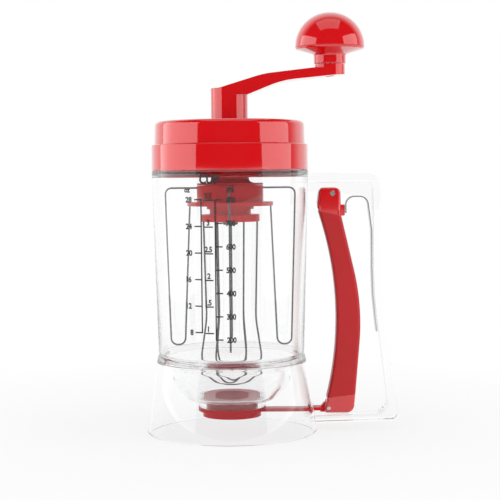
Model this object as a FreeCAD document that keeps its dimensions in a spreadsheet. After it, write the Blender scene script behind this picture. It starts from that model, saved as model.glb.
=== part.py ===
import FreeCAD, Part
import math
import os
import re

import Sketcher

Vector = FreeCAD.Vector
Rotation = FreeCAD.Rotation
Placement = FreeCAD.Placement

# Batter dispenser: a clear jar on a skirt, a lid with a crank and two counter-turning whisks,
# and a trigger in the handle that pulls a gate under the jar.
# Z is the jar's axis, the jar stands on the plane Z = 0, and the handle is on the +X side.

# Driving sizes in millimetres and degrees
SIZES = (
    ("jar_height", 168.7, "base to the shoulder that the lid sits on"),
    ("jar_radius", 50.3, "outside of the jar at its shoulder"),
    ("waist_radius", 47.0, "outside of the jar above the skirt"),
    ("jar_wall", 2.2, "wall of the jar"),
    ("neck_radius", 47.4, "outside of the neck inside the lid"),
    ("neck_height", 11.5, "neck above the shoulder"),
    ("skirt_height", 49.4, "base to the top of the skirt"),
    ("skirt_step", 0.5, "skirt proud of the jar at its top"),
    ("skirt_swell_radius", 50.6, "outside of the skirt where it bends"),
    ("skirt_swell_height", 36.0, "base to that bend"),
    ("skirt_foot_radius", 54.9, "outside of the skirt at the base"),
    ("skirt_wall", 2.4, "wall of the skirt"),
    ("skirt_bend", 80.0, "bend of the skirt's outside"),
    ("bowl_mouth_height", 50.5, "base to the inner edge of the bowl's shoulder"),
    ("bowl_mouth_bend", 3.0, "bend where the jar's wall turns in to the bowl"),
    ("bowl_joint_rise", 2.5, "top of the skirt up to the joint of bowl and jar wall"),
    ("bowl_radius", 36.2, "inside of the bowl below its shoulder"),
    ("bowl_taper", 0.8, "the bowl's side drawn in at its foot"),
    ("bowl_shoulder_bend", 4.0, "bend at the foot of the bowl's shoulder"),
    ("bowl_side_bend", 12.0, "bend at the foot of the bowl's side"),
    ("bowl_floor_bend", 7.0, "bend where the bowl's floor levels out"),
    ("bowl_shoulder_height", 43.5, "base to the foot of the bowl's shoulder"),
    ("bowl_side_height", 32.0, "base to the foot of the bowl's side"),
    ("bowl_floor_radius", 26.0, "inside of the bowl where its floor levels out"),
    ("bowl_floor_height", 22.6, "base to the bowl's floor"),
    ("collar_radius", 21.5, "outside of the outlet collar"),
    ("collar_bore", 16.8, "bore of the outlet collar"),
    ("collar_level", 16.2, "base to the collar's lower face"),
    ("seal_radius", 18.6, "outside of the outlet seal"),
    ("seal_top", 22.5, "base to the top of the outlet seal"),
    ("seal_seat", 19.9, "base to the ledge that the outlet seal lies on"),
    ("outlet_radius", 11.0, "bore that the batter leaves by"),
    ("lip_wall", 3.2, "wall of the outlet seal's lip"),
    ("housing_flange_radius", 21.7, "flange of the valve housing"),
    ("housing_radius", 18.8, "barrel of the valve housing"),
    ("housing_bottom", 10.4, "base to the lower face of the valve housing"),
    ("housing_step", 13.9, "base to the underside of its flange"),
    ("gate_level", 13.0, "base to the underside of the gate"),
    ("gate_thickness", 2.0, "gate plate"),
    ("gate_radius", 12.8, "half width of the gate plate"),
    ("gate_shoulder", 12.0, "axis to the gate plate's shoulder"),
    ("gate_neck", 5.0, "length of the gate plate's neck down to its stem"),
    ("gate_bend", 3.0, "bend of the gate plate's shoulder"),
    ("stem_room", 1.5, "room round the gate's stem in the skirt"),
    ("stem_half_width", 4.5, "half width of the gate's stem"),
    ("hook_half_width", 2.3, "half width of the gate's slotted end"),
    ("hook_wall", 2.6, "material round the slot in the gate's end"),
    ("slip", 0.1, "running clearance"),
    ("seat", 0.05, "clearance of seated pieces"),
    ("play", 0.3, "clearance between faces that pass each other"),
    ("lid_foot_radius", 49.8, "outside of the lid at its foot"),
    ("lid_radius", 50.4, "outside of the lid at its step"),
    ("lid_skirt_height", 16.4, "shoulder to the lid's step"),
    ("lid_crown_radius", 48.0, "outside of the lid's crown"),
    ("lid_height", 31.3, "shoulder to the lid's top"),
    ("lid_wall", 2.0, "wall of the lid"),
    ("lid_round", 3.0, "rounding of the lid's top edge"),
    ("lid_draft", 0.4, "draft of the lid's crown"),
    ("plug_radius", 44.5, "outside of the lid's plug wall"),
    ("plug_depth", 4.2, "shoulder down to the foot of the plug wall"),
    ("lid_seal_height", 3.0, "shoulder to the lower face of the lid seal"),
    ("lid_seal_size", 2.8, "height of the lid seal"),
    ("hub_radius", 14.3, "under-lid hub where it leaves the plug"),
    ("hub_waist_radius", 11.1, "narrow part of that hub"),
    ("hub_waist_drop", 6.5, "shoulder down to the narrow part"),
    ("hub_draft", 0.4, "hub wider at the lid"),
    ("hub_swell_drop", 1.8, "shoulder down to where the hub starts to narrow"),
    ("hub_bend", 30.0, "bend there"),
    ("hub_waist_bend", 2.2, "bend of the narrow part"),
    ("carrier_radius", 21.3, "flange of the hub, over the gear cup"),
    ("carrier_drop", 9.6, "shoulder down to that flange's lower face"),
    ("carrier_edge", 1.2, "thickness of that flange at its edge"),
    ("carrier_plate_radius", 16.6, "plate of the hub inside the gear cup"),
    ("carrier_plate_depth", 1.7, "that plate below the flange"),
    ("hub_foot_radius", 22.0, "foot of the hub against the lid"),
    ("hub_foot_height", 3.0, "thickness of that foot"),
    ("screw_circle", 18.0, "axis to the carrier screws"),
    ("screw_radius", 1.4, "shank of a carrier screw"),
    ("screw_head_radius", 2.6, "head of a carrier screw"),
    ("screw_head_height", 1.6, "head of a carrier screw"),
    ("screw_grip", 4.4, "depth of the lid's screw bosses"),
    ("screw_room", 0.2, "carrier screw's end short of its bore"),
    ("screw_boss_radius", 3.4, "boss for a carrier screw"),
    ("shaft_radius", 3.0, "drive shaft"),
    ("shaft_rise", 16.0, "drive shaft inside the crank's hub"),
    ("bush_radius", 5.5, "outside of the shaft's bush"),
    ("bush_length", 12.0, "length of the bush"),
    ("gear_module", 1.0, "pitch diameter of a gear per tooth"),
    ("pressure_angle", 25.0, "pressure angle of the teeth"),
    ("sun_teeth", 12.0, "teeth of the sun gear"),
    ("planet_teeth", 12.0, "teeth of a planet gear"),
    ("backlash", 0.16, "play between meshing teeth"),
    ("ring_addendum", 0.85, "height of the ring gear's teeth above the pitch circle"),
    ("tooth_relief", 0.25, "tip to root clearance of the teeth"),
    ("gear_width", 7.4, "face width of the gears"),
    ("pin_radius", 1.5, "planet pin"),
    ("pin_head_radius", 2.5, "head of a planet pin"),
    ("pin_head_height", 0.8, "head of a planet pin"),
    ("pin_hold", 2.6, "planet pin inside the hub"),
    ("cup_radius", 21.4, "outside of the gear cup"),
    ("cup_floor", 2.6, "floor of the gear cup"),
    ("cup_flange_radius", 27.7, "flange that holds the outer whisk"),
    ("cup_flange_height", 2.4, "thickness of that flange"),
    ("inner_hub_radius", 15.2, "top step of the inner whisk's hub"),
    ("inner_hub_height", 2.0, "top step of the inner whisk's hub"),
    ("inner_waist_radius", 13.3, "waist of the inner whisk's hub"),
    ("inner_waist_height", 3.6, "waist of the inner whisk's hub"),
    ("inner_disc_radius", 18.9, "disc that holds the inner whisk"),
    ("inner_disc_height", 4.4, "thickness of that disc"),
    ("end_screw_radius", 5.0, "head of the shaft's end screw"),
    ("end_screw_height", 2.4, "head of the shaft's end screw"),
    ("wire_radius", 0.95, "whisk wire"),
    ("wire_grip", 1.2, "wire end inside its hub"),
    ("outer_reach", 42.0, "axis to the outer whisk's upper corner"),
    ("outer_foot_reach", 39.2, "axis to the outer whisk's lower corner"),
    ("outer_foot_return", 30.0, "axis to the inner side of its foot"),
    ("outer_root_radius", 26.0, "axis to the outer whisk's inner leg at its flange"),
    ("outer_foot_height", 55.3, "base to the outer whisk's foot"),
    ("outer_arm_drop", 1.5, "cup's rim down to the outer whisk's upper arm"),
    ("outer_elbow", 4.0, "bend of the upper corner"),
    ("outer_foot_bend", 4.3, "bend of the foot"),
    ("inner_root_radius", 17.3, "axis to the inner whisk's legs at their disc"),
    ("inner_waist_reach", 15.9, "axis to the legs' narrowest place"),
    ("inner_waist_level", 72.0, "base to that place"),
    ("inner_foot_reach", 22.3, "axis to the corner that the balloon is rounded from"),
    ("inner_foot_height", 29.4, "base to the lowest loop"),
    ("balloon_bend", 18.6, "bend of the balloon's foot"),
    ("waist_bend", 60.0, "bend of the legs' narrow place"),
    ("leg_bend", 20.0, "bend of the legs under their disc"),
    ("leg_drop", 2.0, "disc down to that bend"),
    ("crank_hub_radius", 11.85, "post of the crank"),
    ("crank_hub_height", 21.0, "lid to the top of the crank over its post"),
    ("crank_throw", 64.7, "axis to the knob's axis"),
    ("crank_end_radius", 9.65, "end boss of the crank"),
    ("crank_end_top", 35.7, "lid to the top of the end boss"),
    ("crank_end_bottom", 29.3, "lid to the underside of the end boss"),
    ("crank_slope_top", 33.4, "lid to the arm's top beside the end boss"),
    ("crank_knee", 25.4, "lid to the arm's underside at its bend"),
    ("crank_knee_reach", 34.0, "axis to that bend"),
    ("crank_back_reach", 22.0, "axis to the bend of the arm's top"),
    ("crank_back_height", 29.6, "lid to the bend of the arm's top"),
    ("crank_root", 4.5, "depth of the arm over the post"),
    ("crank_back_bend", 60.0, "bend of the arm's top"),
    ("crank_rise_bend", 14.0, "bend where the arm's top starts to rise"),
    ("knob_radius", 22.2, "dome of the knob"),
    ("knob_stem_radius", 10.2, "stem of the knob"),
    ("knob_stem_height", 6.2, "stem of the knob"),
    ("knob_rim_height", 10.8, "end boss to the knob's seam"),
    ("knob_wall", 2.4, "wall of the knob"),
    ("knob_lip", 1.4, "rim of the knob under its seam"),
    ("knob_pin_radius", 3.0, "shoulder screw of the knob"),
    ("knob_pin_head", 6.0, "head of that screw"),
    ("knob_pin_rise", 2.4, "height of that head"),
    ("knob_pin_room", 1.0, "screw's end short of the boss's underside"),
    ("handle_top_drop", 2.7, "shoulder down to the handle's top"),
    ("handle_bar_height", 5.7, "full-width part of the handle's top bar"),
    ("handle_web_height", 11.5, "top bar down to the web's lower edge"),
    ("handle_half_width", 6.5, "half width of the handle"),
    ("web_half_width", 2.3, "half thickness of the handle's web and lug"),
    ("handle_back_reach", 96.3, "axis to the handle's back in its upper part"),
    ("handle_bend_height", 88.0, "base to the bend of the handle's back"),
    ("handle_foot_reach", 108.8, "axis to the handle's lower corner"),
    ("handle_foot_level", 6.2, "base to the handle's lower corner"),
    ("handle_root_level", 4.6, "base to the handle's underside at the jar"),
    ("handle_depth", 4.7, "depth of the handle's back, upper part"),
    ("handle_foot_depth", 7.4, "depth of the handle's back, lower part"),
    ("handle_lean", 0.8, "handle's upper corner behind the bend of its back"),
    ("handle_back_bend", 260.0, "bend of the handle's back"),
    ("handle_corner_bend", 9.0, "bend of the handle's upper corner"),
    ("handle_foot_bend", 5.0, "bend of the handle's lower corner"),
    ("web_step", 1.4, "step of the web's lower edge behind the lug"),
    ("handle_bar_depth", 5.2, "height of the handle's lower bar"),
    ("handle_edge", 1.5, "rounding of the handle's edges"),
    ("pivot_reach", 65.7, "axis to the trigger's pivot"),
    ("pivot_drop", 15.3, "shoulder down to the trigger's pivot"),
    ("pivot_radius", 1.6, "trigger's pivot pin"),
    ("lug_radius", 4.4, "lug round the pivot pin"),
    ("trigger_half_width", 7.0, "half width of the trigger"),
    ("trigger_head_reach", 57.2, "axis to the front of the trigger's head"),
    ("trigger_back_reach", 70.9, "axis to the back of the trigger's head"),
    ("trigger_head_rise", 3.7, "pivot to the top of the trigger's head"),
    ("trigger_nose_reach", 55.6, "axis to the front of the trigger below its head"),
    ("trigger_nose_drop", 8.0, "pivot down to that place"),
    ("trigger_front_reach", 75.4, "corner that the hollow front is rounded from"),
    ("trigger_front_height", 78.5, "base to that corner"),
    ("trigger_front_ease", 0.84, "share of the shorter half of the hollow front that its bend takes"),
    ("trigger_swell_reach", 84.7, "corner that the full back is rounded from"),
    ("trigger_swell_height", 80.6, "base to that corner"),
    ("trigger_back_ease", 0.39, "share of the shorter half of the full back that its bend takes"),
    ("trigger_neck_drop", 13.0, "pivot down to where the back starts to swell"),
    ("trigger_foot_reach", 78.7, "axis to the back of the trigger's foot"),
    ("trigger_toe_reach", 59.0, "axis to the front of the trigger's foot"),
    ("trigger_foot_level", 11.6, "base to the underside of the trigger's foot"),
    ("trigger_edge", 2.0, "rounding of the trigger's edges"),
    ("trigger_brow_bend", 3.4, "bend of the head's front corner"),
    ("trigger_crown_bend", 4.0, "bend of the head's back corner"),
    ("trigger_nose_bend", 6.0, "bend below the head's front"),
    ("trigger_neck_bend", 20.0, "bend where the back starts to swell"),
    ("trigger_heel_bend", 5.0, "bend of the foot's back corner"),
    ("fork_depth", 2.0, "lug down to the bottom of the trigger's fork"),
    ("fork_rise", 3.6, "link pin up to the top of the foot's fork"),
    ("grip_top", 139.0, "base to the grip's upper edge"),
    ("grip_bottom", 22.5, "base to the grip's lower edge"),
    ("grip_slant", 5.0, "rise or fall of the grip's edges across it"),
    ("grip_wall", 1.6, "wall of the grip"),
    ("link_reach", 62.6, "axis to the link pin"),
    ("link_radius", 1.25, "link pin"),
    ("link_rise", 0.6, "gate's middle up to the link pin"),
    ("spring_thickness", 0.8, "leaf spring"),
    ("spring_half_width", 4.0, "half width of the leaf spring"),
    ("spring_arch_top", 151.2, "base to the top of the spring's arch"),
    ("spring_root_level", 140.5, "base to the spring's fixed end"),
    ("spring_foot_level", 64.0, "base to the spring's free end"),
    ("spring_clip", 2.6, "clip of the spring proud of the trigger's back"),
    ("spring_clip_rise", 5.6, "height of that clip above the spring's fixed end"),
    ("spring_bend", 5.5, "bends of the spring's arch"),
)


# The document, its sheet and the helpers that read it
doc = FreeCAD.newDocument("BatterDispenser")
sheet = doc.addObject("Spreadsheet::Sheet", "Sizes")
ALIASES = {row[0] for row in SIZES}
pieces = []


def fill_sheet():
    """Put each size in its own cell, with its alias and what it is."""
    for row, (alias, value, meaning) in enumerate(SIZES, start=1):
        sheet.set("A%d" % row, alias)
        sheet.set("B%d" % row, str(value))
        sheet.set("C%d" % row, meaning)
        sheet.setAlias("B%d" % row, alias)
    doc.recompute()


def bound(text):
    """Spell an expression of bare size names as one that an object can be bound to."""
    def cell(word):
        return "Sizes." + word.group() if word.group() in ALIASES else word.group()
    return re.sub(r"[a-z_]+", cell, str(text))


def number(text):
    """Work out an expression of size names now."""
    value = sheet.evalExpression(bound(text))
    return float(getattr(value, "Value", value))


def bind(thing, path, text):
    """Bind one property of an object to an expression of size names."""
    thing.setExpression(path, bound(text))


def body(name):
    """Start a sub-part as a body of its own."""
    made = doc.addObject("PartDesign::Body", name)
    made.Label = name
    return made


def plane_sketch(owner, plane, name, lift="0"):
    """Sketch on one of the body's own origin planes, moved along its normal by lift."""
    sketch = owner.newObject("Sketcher::SketchObject", name)
    role = plane + "_Plane"
    base = next(item for item in owner.Origin.OriginFeatures if item.Role == role)
    sketch.AttachmentSupport = [(base, "")]
    sketch.MapMode = "FlatFace"
    bind(sketch, "AttachmentOffset.Base.z", lift)
    return sketch


def corner_turn(spots, index, radius):
    """Where a rounded corner leaves its two sides, and its arc."""
    corner = spots[index]
    before = (spots[index - 1] - corner).normalize()
    after = (spots[(index + 1) % len(spots)] - corner).normalize()
    half = before.getAngle(after) / 2
    trim = radius / math.tan(half)
    centre = corner + (before + after).normalize() * (radius / math.sin(half))
    first = corner + before * trim
    last = corner + after * trim
    leftward = after.cross(before).z > 0
    begin, end = (first, last) if leftward else (last, first)
    start_angle = math.atan2(begin.y - centre.y, begin.x - centre.x)
    end_angle = math.atan2(end.y - centre.y, end.x - centre.x)
    if end_angle < start_angle:
        end_angle += 2 * math.pi
    circle = Part.Circle(centre, Vector(0, 0, 1), radius)
    return first, last, Part.ArcOfCircle(circle, start_angle, end_angle), leftward


def trace(sketch, corners, closed=True):
    """Draw lines through corners (x, y) or (x, y, radius), and bind each of them to the sheet."""
    spots = [Vector(number(corner[0]), number(corner[1]), 0) for corner in corners]
    count = len(corners)
    leaves = list(spots)
    arrives = list(spots)
    turns = {}
    for index, corner in enumerate(corners):
        if len(corner) == 3:
            first, last, arc, leftward = corner_turn(spots, index, number(corner[2]))
            arrives[index] = first
            leaves[index] = last
            turns[index] = (arc, leftward)
    offset = sketch.GeometryCount
    side_count = count if closed else count - 1
    sides = [Part.LineSegment(leaves[i], arrives[(i + 1) % count]) for i in range(side_count)]
    arc_ids = {index: offset + side_count + place for place, index in enumerate(turns)}
    sketch.addGeometry(sides + [turns[index][0] for index in turns], False)
    rules = []
    bindings = []
    point_id = offset + side_count + len(turns)
    points = []
    for index, corner in enumerate(corners):
        after = offset + index
        before = offset + (index - 1) % count
        if index in turns:
            into, out = (1, 2) if turns[index][1] else (2, 1)
            points.append(Part.Point(spots[index]))
            rules.append(Sketcher.Constraint("Tangent", before, 2, arc_ids[index], into))
            rules.append(Sketcher.Constraint("Tangent", after, 1, arc_ids[index], out))
            rules.append(Sketcher.Constraint("PointOnObject", point_id, 1, before))
            rules.append(Sketcher.Constraint("PointOnObject", point_id, 1, after))
            bindings.append((len(rules), corner[2]))
            rules.append(Sketcher.Constraint("Radius", arc_ids[index], number(corner[2])))
            held = (point_id, 1)
            point_id += 1
        elif closed or 0 < index < count - 1:
            rules.append(Sketcher.Constraint("Coincident", before, 2, after, 1))
            held = (after, 1)
        else:
            held = (after, 1) if index == 0 else (before, 2)
        for kind, text, place in (("DistanceX", corner[0], spots[index].x),
                                  ("DistanceY", corner[1], spots[index].y)):
            bindings.append((len(rules), text))
            rules.append(Sketcher.Constraint(kind, -1, 1, held[0], held[1], place))
    if points:
        sketch.addGeometry(points, True)
    rule_offset = sketch.ConstraintCount
    sketch.addConstraint(rules)
    for rule, text in bindings:
        bind(sketch, "Constraints[%d]" % (rule_offset + rule), text)


def ring(sketch, x, y, radius):
    """Draw a circle bound to the sheet."""
    circle = sketch.addGeometry(Part.Circle(Vector(number(x), number(y), 0), Vector(0, 0, 1), number(radius)))
    for kind, text in (("DistanceX", x), ("DistanceY", y)):
        rule = sketch.addConstraint(Sketcher.Constraint(kind, -1, 1, circle, 3, number(text)))
        bind(sketch, "Constraints[%d]" % rule, text)
    rule = sketch.addConstraint(Sketcher.Constraint("Radius", circle, number(radius)))
    bind(sketch, "Constraints[%d]" % rule, radius)


def profiled(owner, kind, sketch, name, length, side="One side", back=False):
    """Pad or Pocket of a sketch."""
    feature = owner.newObject("PartDesign::" + kind, name)
    feature.Profile = sketch
    feature.SideType = side
    bind(feature, "Length", length)
    feature.Reversed = back
    return feature


def turned(owner, corners, name, kind="Revolution", centre="0"):
    """Revolution or Groove of an outline (radius, height) about an upright axis at x = centre."""
    sketch = plane_sketch(owner, "XZ", name + "Outline")
    moved = [("%s + %s" % (centre, corner[0]),) + tuple(corner[1:]) for corner in corners]
    trace(sketch, corners if centre == "0" else moved)
    feature = owner.newObject("PartDesign::" + kind, name)
    feature.Profile = sketch
    axis = "V_Axis"
    if centre != "0":
        spot = number(centre)
        line = sketch.addGeometry(Part.LineSegment(Vector(spot, 0, 0), Vector(spot, 10, 0)), True)
        rules = [Sketcher.Constraint("Vertical", line), Sketcher.Constraint("PointOnObject", line, 1, -1)]
        sketch.addConstraint(rules)
        sketch.addConstraint(Sketcher.Constraint("DistanceY", line, 1, line, 2, 10))
        rule = sketch.addConstraint(Sketcher.Constraint("DistanceX", -1, 1, line, 1, spot))
        bind(sketch, "Constraints[%d]" % rule, centre)
        axis = "Axis0"
    feature.ReferenceAxis = (sketch, [axis])
    feature.Angle = 360
    return feature


def disc(owner, kind, name, plane, lift, x, y, radius, length, side="One side", back=False):
    """Round pad or pocket."""
    sketch = plane_sketch(owner, plane, name + "Circle", lift)
    ring(sketch, x, y, radius)
    return profiled(owner, kind, sketch, name, length, side, back)


def slab(owner, kind, name, plane, corners, length, side="Symmetric", lift="0", back=False):
    """Pad or pocket of an outline."""
    sketch = plane_sketch(owner, plane, name + "Outline", lift)
    trace(sketch, corners)
    return profiled(owner, kind, sketch, name, length, side, back)


def repeat(owner, features, copies, name):
    """Spread features round the body's Z axis."""
    pattern = owner.newObject("PartDesign::PolarPattern", name)
    pattern.Originals = features
    upright = next(item for item in owner.Origin.OriginFeatures if item.Role == "Z_Axis")
    pattern.Axis = (upright, [""])
    pattern.Angle = 360
    pattern.Occurrences = copies
    owner.Tip = pattern
    return pattern


def rounded(owner, feature, radius, wanted, name):
    """Fillet those edges of a feature that the test picks."""
    doc.recompute()
    picked = ["Edge%d" % (place + 1) for place, edge in enumerate(feature.Shape.Edges) if wanted(edge)]
    fillet = owner.newObject("PartDesign::Fillet", name)
    fillet.Base = (feature, picked)
    bind(fillet, "Radius", radius)
    return fillet


def swept(owner, route, section, name, start_plane, lift, shape):
    """Pipe along a route in the XZ plane, its section drawn square to the route's start."""
    spine = plane_sketch(owner, "XZ", name + "Route")
    trace(spine, route, closed=False)
    profile = plane_sketch(owner, start_plane, name + "Section", lift)
    shape(profile, section)
    doc.recompute()
    pipe = owner.newObject("PartDesign::AdditivePipe", name)
    pipe.Profile = profile
    pipe.Spine = (spine, ["Edge%d" % (place + 1) for place in range(len(spine.Shape.Edges))])
    return pipe


def keep(piece, name=None):
    """List a finished sub-part under the name of its file."""
    piece.Label = name or piece.Label
    pieces.append(piece)
    return piece


# Levels that several pieces share, measured from the base
SHOULDER = "jar_height"
JAR_FOOT = "(skirt_height + skirt_step)"
BOWL_JOINT = "(skirt_height + skirt_step + bowl_joint_rise)"
JOINT_OUTSIDE = ("(waist_radius + (jar_radius - waist_radius) * bowl_joint_rise"
                 " / (jar_height - skirt_height - skirt_step))")
JOINT_INSIDE = ("(waist_radius - jar_wall + (jar_radius - waist_radius)"
                " * (skirt_height + skirt_step + bowl_joint_rise - bowl_mouth_height)"
                " / (jar_height - 2 * jar_wall - bowl_mouth_height))")
SKIRT_BORE = "(waist_radius + skirt_step - skirt_wall)"
SKIRT_CEILING = "(skirt_height + skirt_step - skirt_wall)"
LID_TOP = "(jar_height + lid_height)"
LID_CEILING = "(jar_height + lid_height - lid_wall)"
CARRIER_FACE = "(jar_height - carrier_drop)"
PLATE_FACE = "(jar_height - carrier_drop - carrier_plate_depth)"
CUP_RIM = "(jar_height - carrier_drop - play)"
GEAR_BOTTOM = "(jar_height - carrier_drop - carrier_plate_depth - play - gear_width)"
CUP_FLOOR = ("(jar_height - carrier_drop - carrier_plate_depth - 3 * play"
             " - gear_width - pin_head_height)")
CUP_BOTTOM = ("(jar_height - carrier_drop - carrier_plate_depth - 3 * play"
              " - gear_width - pin_head_height - cup_floor)")
INNER_TOP = CUP_BOTTOM[:-1] + " - play / 2)"
DISC_TOP = CUP_BOTTOM[:-1] + " - play / 2 - inner_hub_height - inner_waist_height)"
DISC_BOTTOM = DISC_TOP[:-1] + " - inner_disc_height)"
CRANK_FOOT = "(jar_height + lid_height + play)"
ARM_FOOT = "(jar_height + lid_height + crank_hub_height - crank_root)"
END_TOP = "(jar_height + lid_height + crank_end_top)"
KNOB_FOOT = "(jar_height + lid_height + crank_end_top + play)"
KNOB_RIM = "(jar_height + lid_height + crank_end_top + play + knob_rim_height)"
PLANET_REACH = "((sun_teeth + planet_teeth) / 2 * gear_module)"
GATE_TOP = "(gate_level + gate_thickness)"
PIVOT = "(jar_height - pivot_drop)"
LINK = "(gate_level + gate_thickness / 2 + link_rise)"
HANDLE_TOP = "(jar_height - handle_top_drop)"
BAR_BOTTOM = "(jar_height - handle_top_drop - handle_bar_height)"
HANDLE_INSIDE = "(handle_back_reach - handle_depth)"
HANDLE_INNER_FOOT = "(handle_foot_reach - handle_foot_depth)"
BAR_TOP = "(handle_foot_level + handle_bar_depth)"
WEB_BOTTOM = "(jar_height - handle_top_drop - handle_web_height)"


def jar_outside(extra):
    """Outline of the jar's outside from the base to its shoulder, grown by extra."""
    return [
        ("skirt_foot_radius + %s" % extra, "0"),
        ("skirt_swell_radius + %s" % extra, "skirt_swell_height", "skirt_bend"),
        ("waist_radius + skirt_step + %s" % extra, "skirt_height"),
        ("waist_radius + %s" % extra, JAR_FOOT),
        ("jar_radius + %s" % extra, SHOULDER),
    ]


def make_jar():
    """Clear jar: its wall and neck, the bowl with the outlet collar, and the flared skirt."""
    wall = body("jar_shell")
    turned(wall, [
        (JOINT_OUTSIDE, BOWL_JOINT),
        ("jar_radius", SHOULDER),
        ("neck_radius", SHOULDER),
        ("neck_radius", "jar_height + neck_height"),
        ("neck_radius - jar_wall", "jar_height + neck_height"),
        ("neck_radius - jar_wall", "jar_height - jar_wall / 2"),
        ("jar_radius - jar_wall", "jar_height - 2 * jar_wall"),
        (JOINT_INSIDE, BOWL_JOINT),
    ], "JarWall")
    keep(wall)
    bowl = body("jar_bowl")
    turned(bowl, [
        (JOINT_OUTSIDE, BOWL_JOINT),
        (JOINT_INSIDE, BOWL_JOINT),
        ("waist_radius - jar_wall", "bowl_mouth_height", "bowl_mouth_bend"),
        ("bowl_radius", "bowl_shoulder_height", "bowl_shoulder_bend"),
        ("bowl_radius - bowl_taper", "bowl_side_height", "bowl_side_bend"),
        ("bowl_floor_radius", "bowl_floor_height", "bowl_floor_bend"),
        ("seal_radius + play", "seal_top"),
        ("seal_radius + play", "seal_seat"),
        ("collar_bore", "seal_seat"),
        ("collar_bore", "collar_level"),
        ("collar_radius", "collar_level"),
        ("collar_radius", "bowl_floor_height - jar_wall"),
        ("bowl_floor_radius + jar_wall / 2", "bowl_floor_height - jar_wall", "bowl_floor_bend + jar_wall / 2"),
        ("bowl_radius - bowl_taper + jar_wall", "bowl_side_height - jar_wall / 2", "bowl_side_bend"),
        ("bowl_radius + jar_wall", "bowl_shoulder_height - jar_wall * 0.8", "bowl_shoulder_bend"),
        (SKIRT_BORE + " - seat", SKIRT_CEILING),
        (SKIRT_BORE + " - seat", JAR_FOOT + " + seat"),
        ("waist_radius", JAR_FOOT + " + seat"),
    ], "BowlWall")
    keep(bowl)
    skirt = body("base_skirt")
    outside = jar_outside("0")[:-1]
    turned(skirt, outside + [
        (SKIRT_BORE, JAR_FOOT),
        (SKIRT_BORE, SKIRT_CEILING),
        ("skirt_swell_radius - skirt_wall", "skirt_swell_height", "skirt_bend - skirt_wall"),
        ("skirt_foot_radius - skirt_wall", "0"),
    ], "SkirtWall")
    half_slot = "stem_half_width + stem_room"
    slot_bottom = "gate_level - stem_room"
    slot_top = GATE_TOP + " + stem_room"
    corners = [("-stem_half_width - stem_room", slot_bottom, "stem_room * 0.9"),
               (half_slot, slot_bottom, "stem_room * 0.9"),
               (half_slot, slot_top, "stem_room * 0.9"),
               ("-stem_half_width - stem_room", slot_top, "stem_room * 0.9")]
    slab(skirt, "Pocket", "StemSlot", "YZ", corners, "skirt_foot_radius", "One side",
         "skirt_foot_radius + 2 * skirt_wall")
    keep(skirt)


def make_handle():
    """Clear C-shaped handle: top bar, back and lower bar, with the web and lug under the top bar."""
    handle = body("handle_frame")
    root = "waist_radius - jar_wall"
    corners = [
        (root, HANDLE_TOP),
        ("handle_back_reach + handle_lean", HANDLE_TOP, "handle_corner_bend"),
        ("handle_back_reach", "handle_bend_height", "handle_back_bend"),
        ("handle_foot_reach", "handle_foot_level", "handle_foot_bend"),
        (root, "handle_root_level"),
        (root, "handle_root_level + handle_bar_depth"),
        (HANDLE_INNER_FOOT, BAR_TOP, "handle_foot_bend * 1.6"),
        (HANDLE_INSIDE, "handle_bend_height", "handle_back_bend"),
        (HANDLE_INSIDE, BAR_BOTTOM, "handle_foot_bend / 2"),
        (root, BAR_BOTTOM),
    ]
    frame = slab(handle, "Pad", "Frame", "XZ", corners, "2 * handle_half_width")

    def along(edge):
        bounds = edge.BoundBox
        side = number("handle_half_width")
        return abs(abs(bounds.YMin) - side) < 0.01 and abs(bounds.YMax - bounds.YMin) < 0.01

    rounded(handle, frame, "handle_edge", along, "FrameEdges")
    arch = "spring_arch_top + spring_thickness + play"
    front = "pivot_reach + lug_radius + web_step"
    middle = "jar_height - handle_top_drop - handle_bar_height / 2"
    behind = "handle_back_reach - handle_depth / 4"
    foot = "spring_root_level - spring_bend"
    corners = [
        (root, middle),
        (behind, middle),
        (behind, foot),
        (HANDLE_INSIDE + " - spring_thickness / 2", foot),
        (HANDLE_INSIDE + " - web_step", arch, "spring_bend * 1.5"),
        (front + " + 1.5 * web_step", arch, "2 * web_step"),
        (front, WEB_BOTTOM, "web_step"),
        ("pivot_reach + lug_radius", WEB_BOTTOM),
        ("pivot_reach + lug_radius", PIVOT + " - lug_radius", "lug_radius * 0.9"),
        ("pivot_reach - lug_radius", PIVOT + " - lug_radius", "lug_radius * 0.9"),
        ("pivot_reach - lug_radius", WEB_BOTTOM),
        (root, WEB_BOTTOM),
    ]
    slab(handle, "Pad", "Web", "XZ", corners, "2 * web_half_width")
    doc.recompute()
    disc(handle, "Pocket", "PivotHole", "XZ", "0", "pivot_reach", PIVOT, "pivot_radius + seat / 2",
         "4 * handle_half_width", "Symmetric")
    jar_side = [("0", "0")] + jar_outside("seat") + [("0", SHOULDER)]
    turned(handle, jar_side, "JarSide", "Groove")
    keep(handle)


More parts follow.
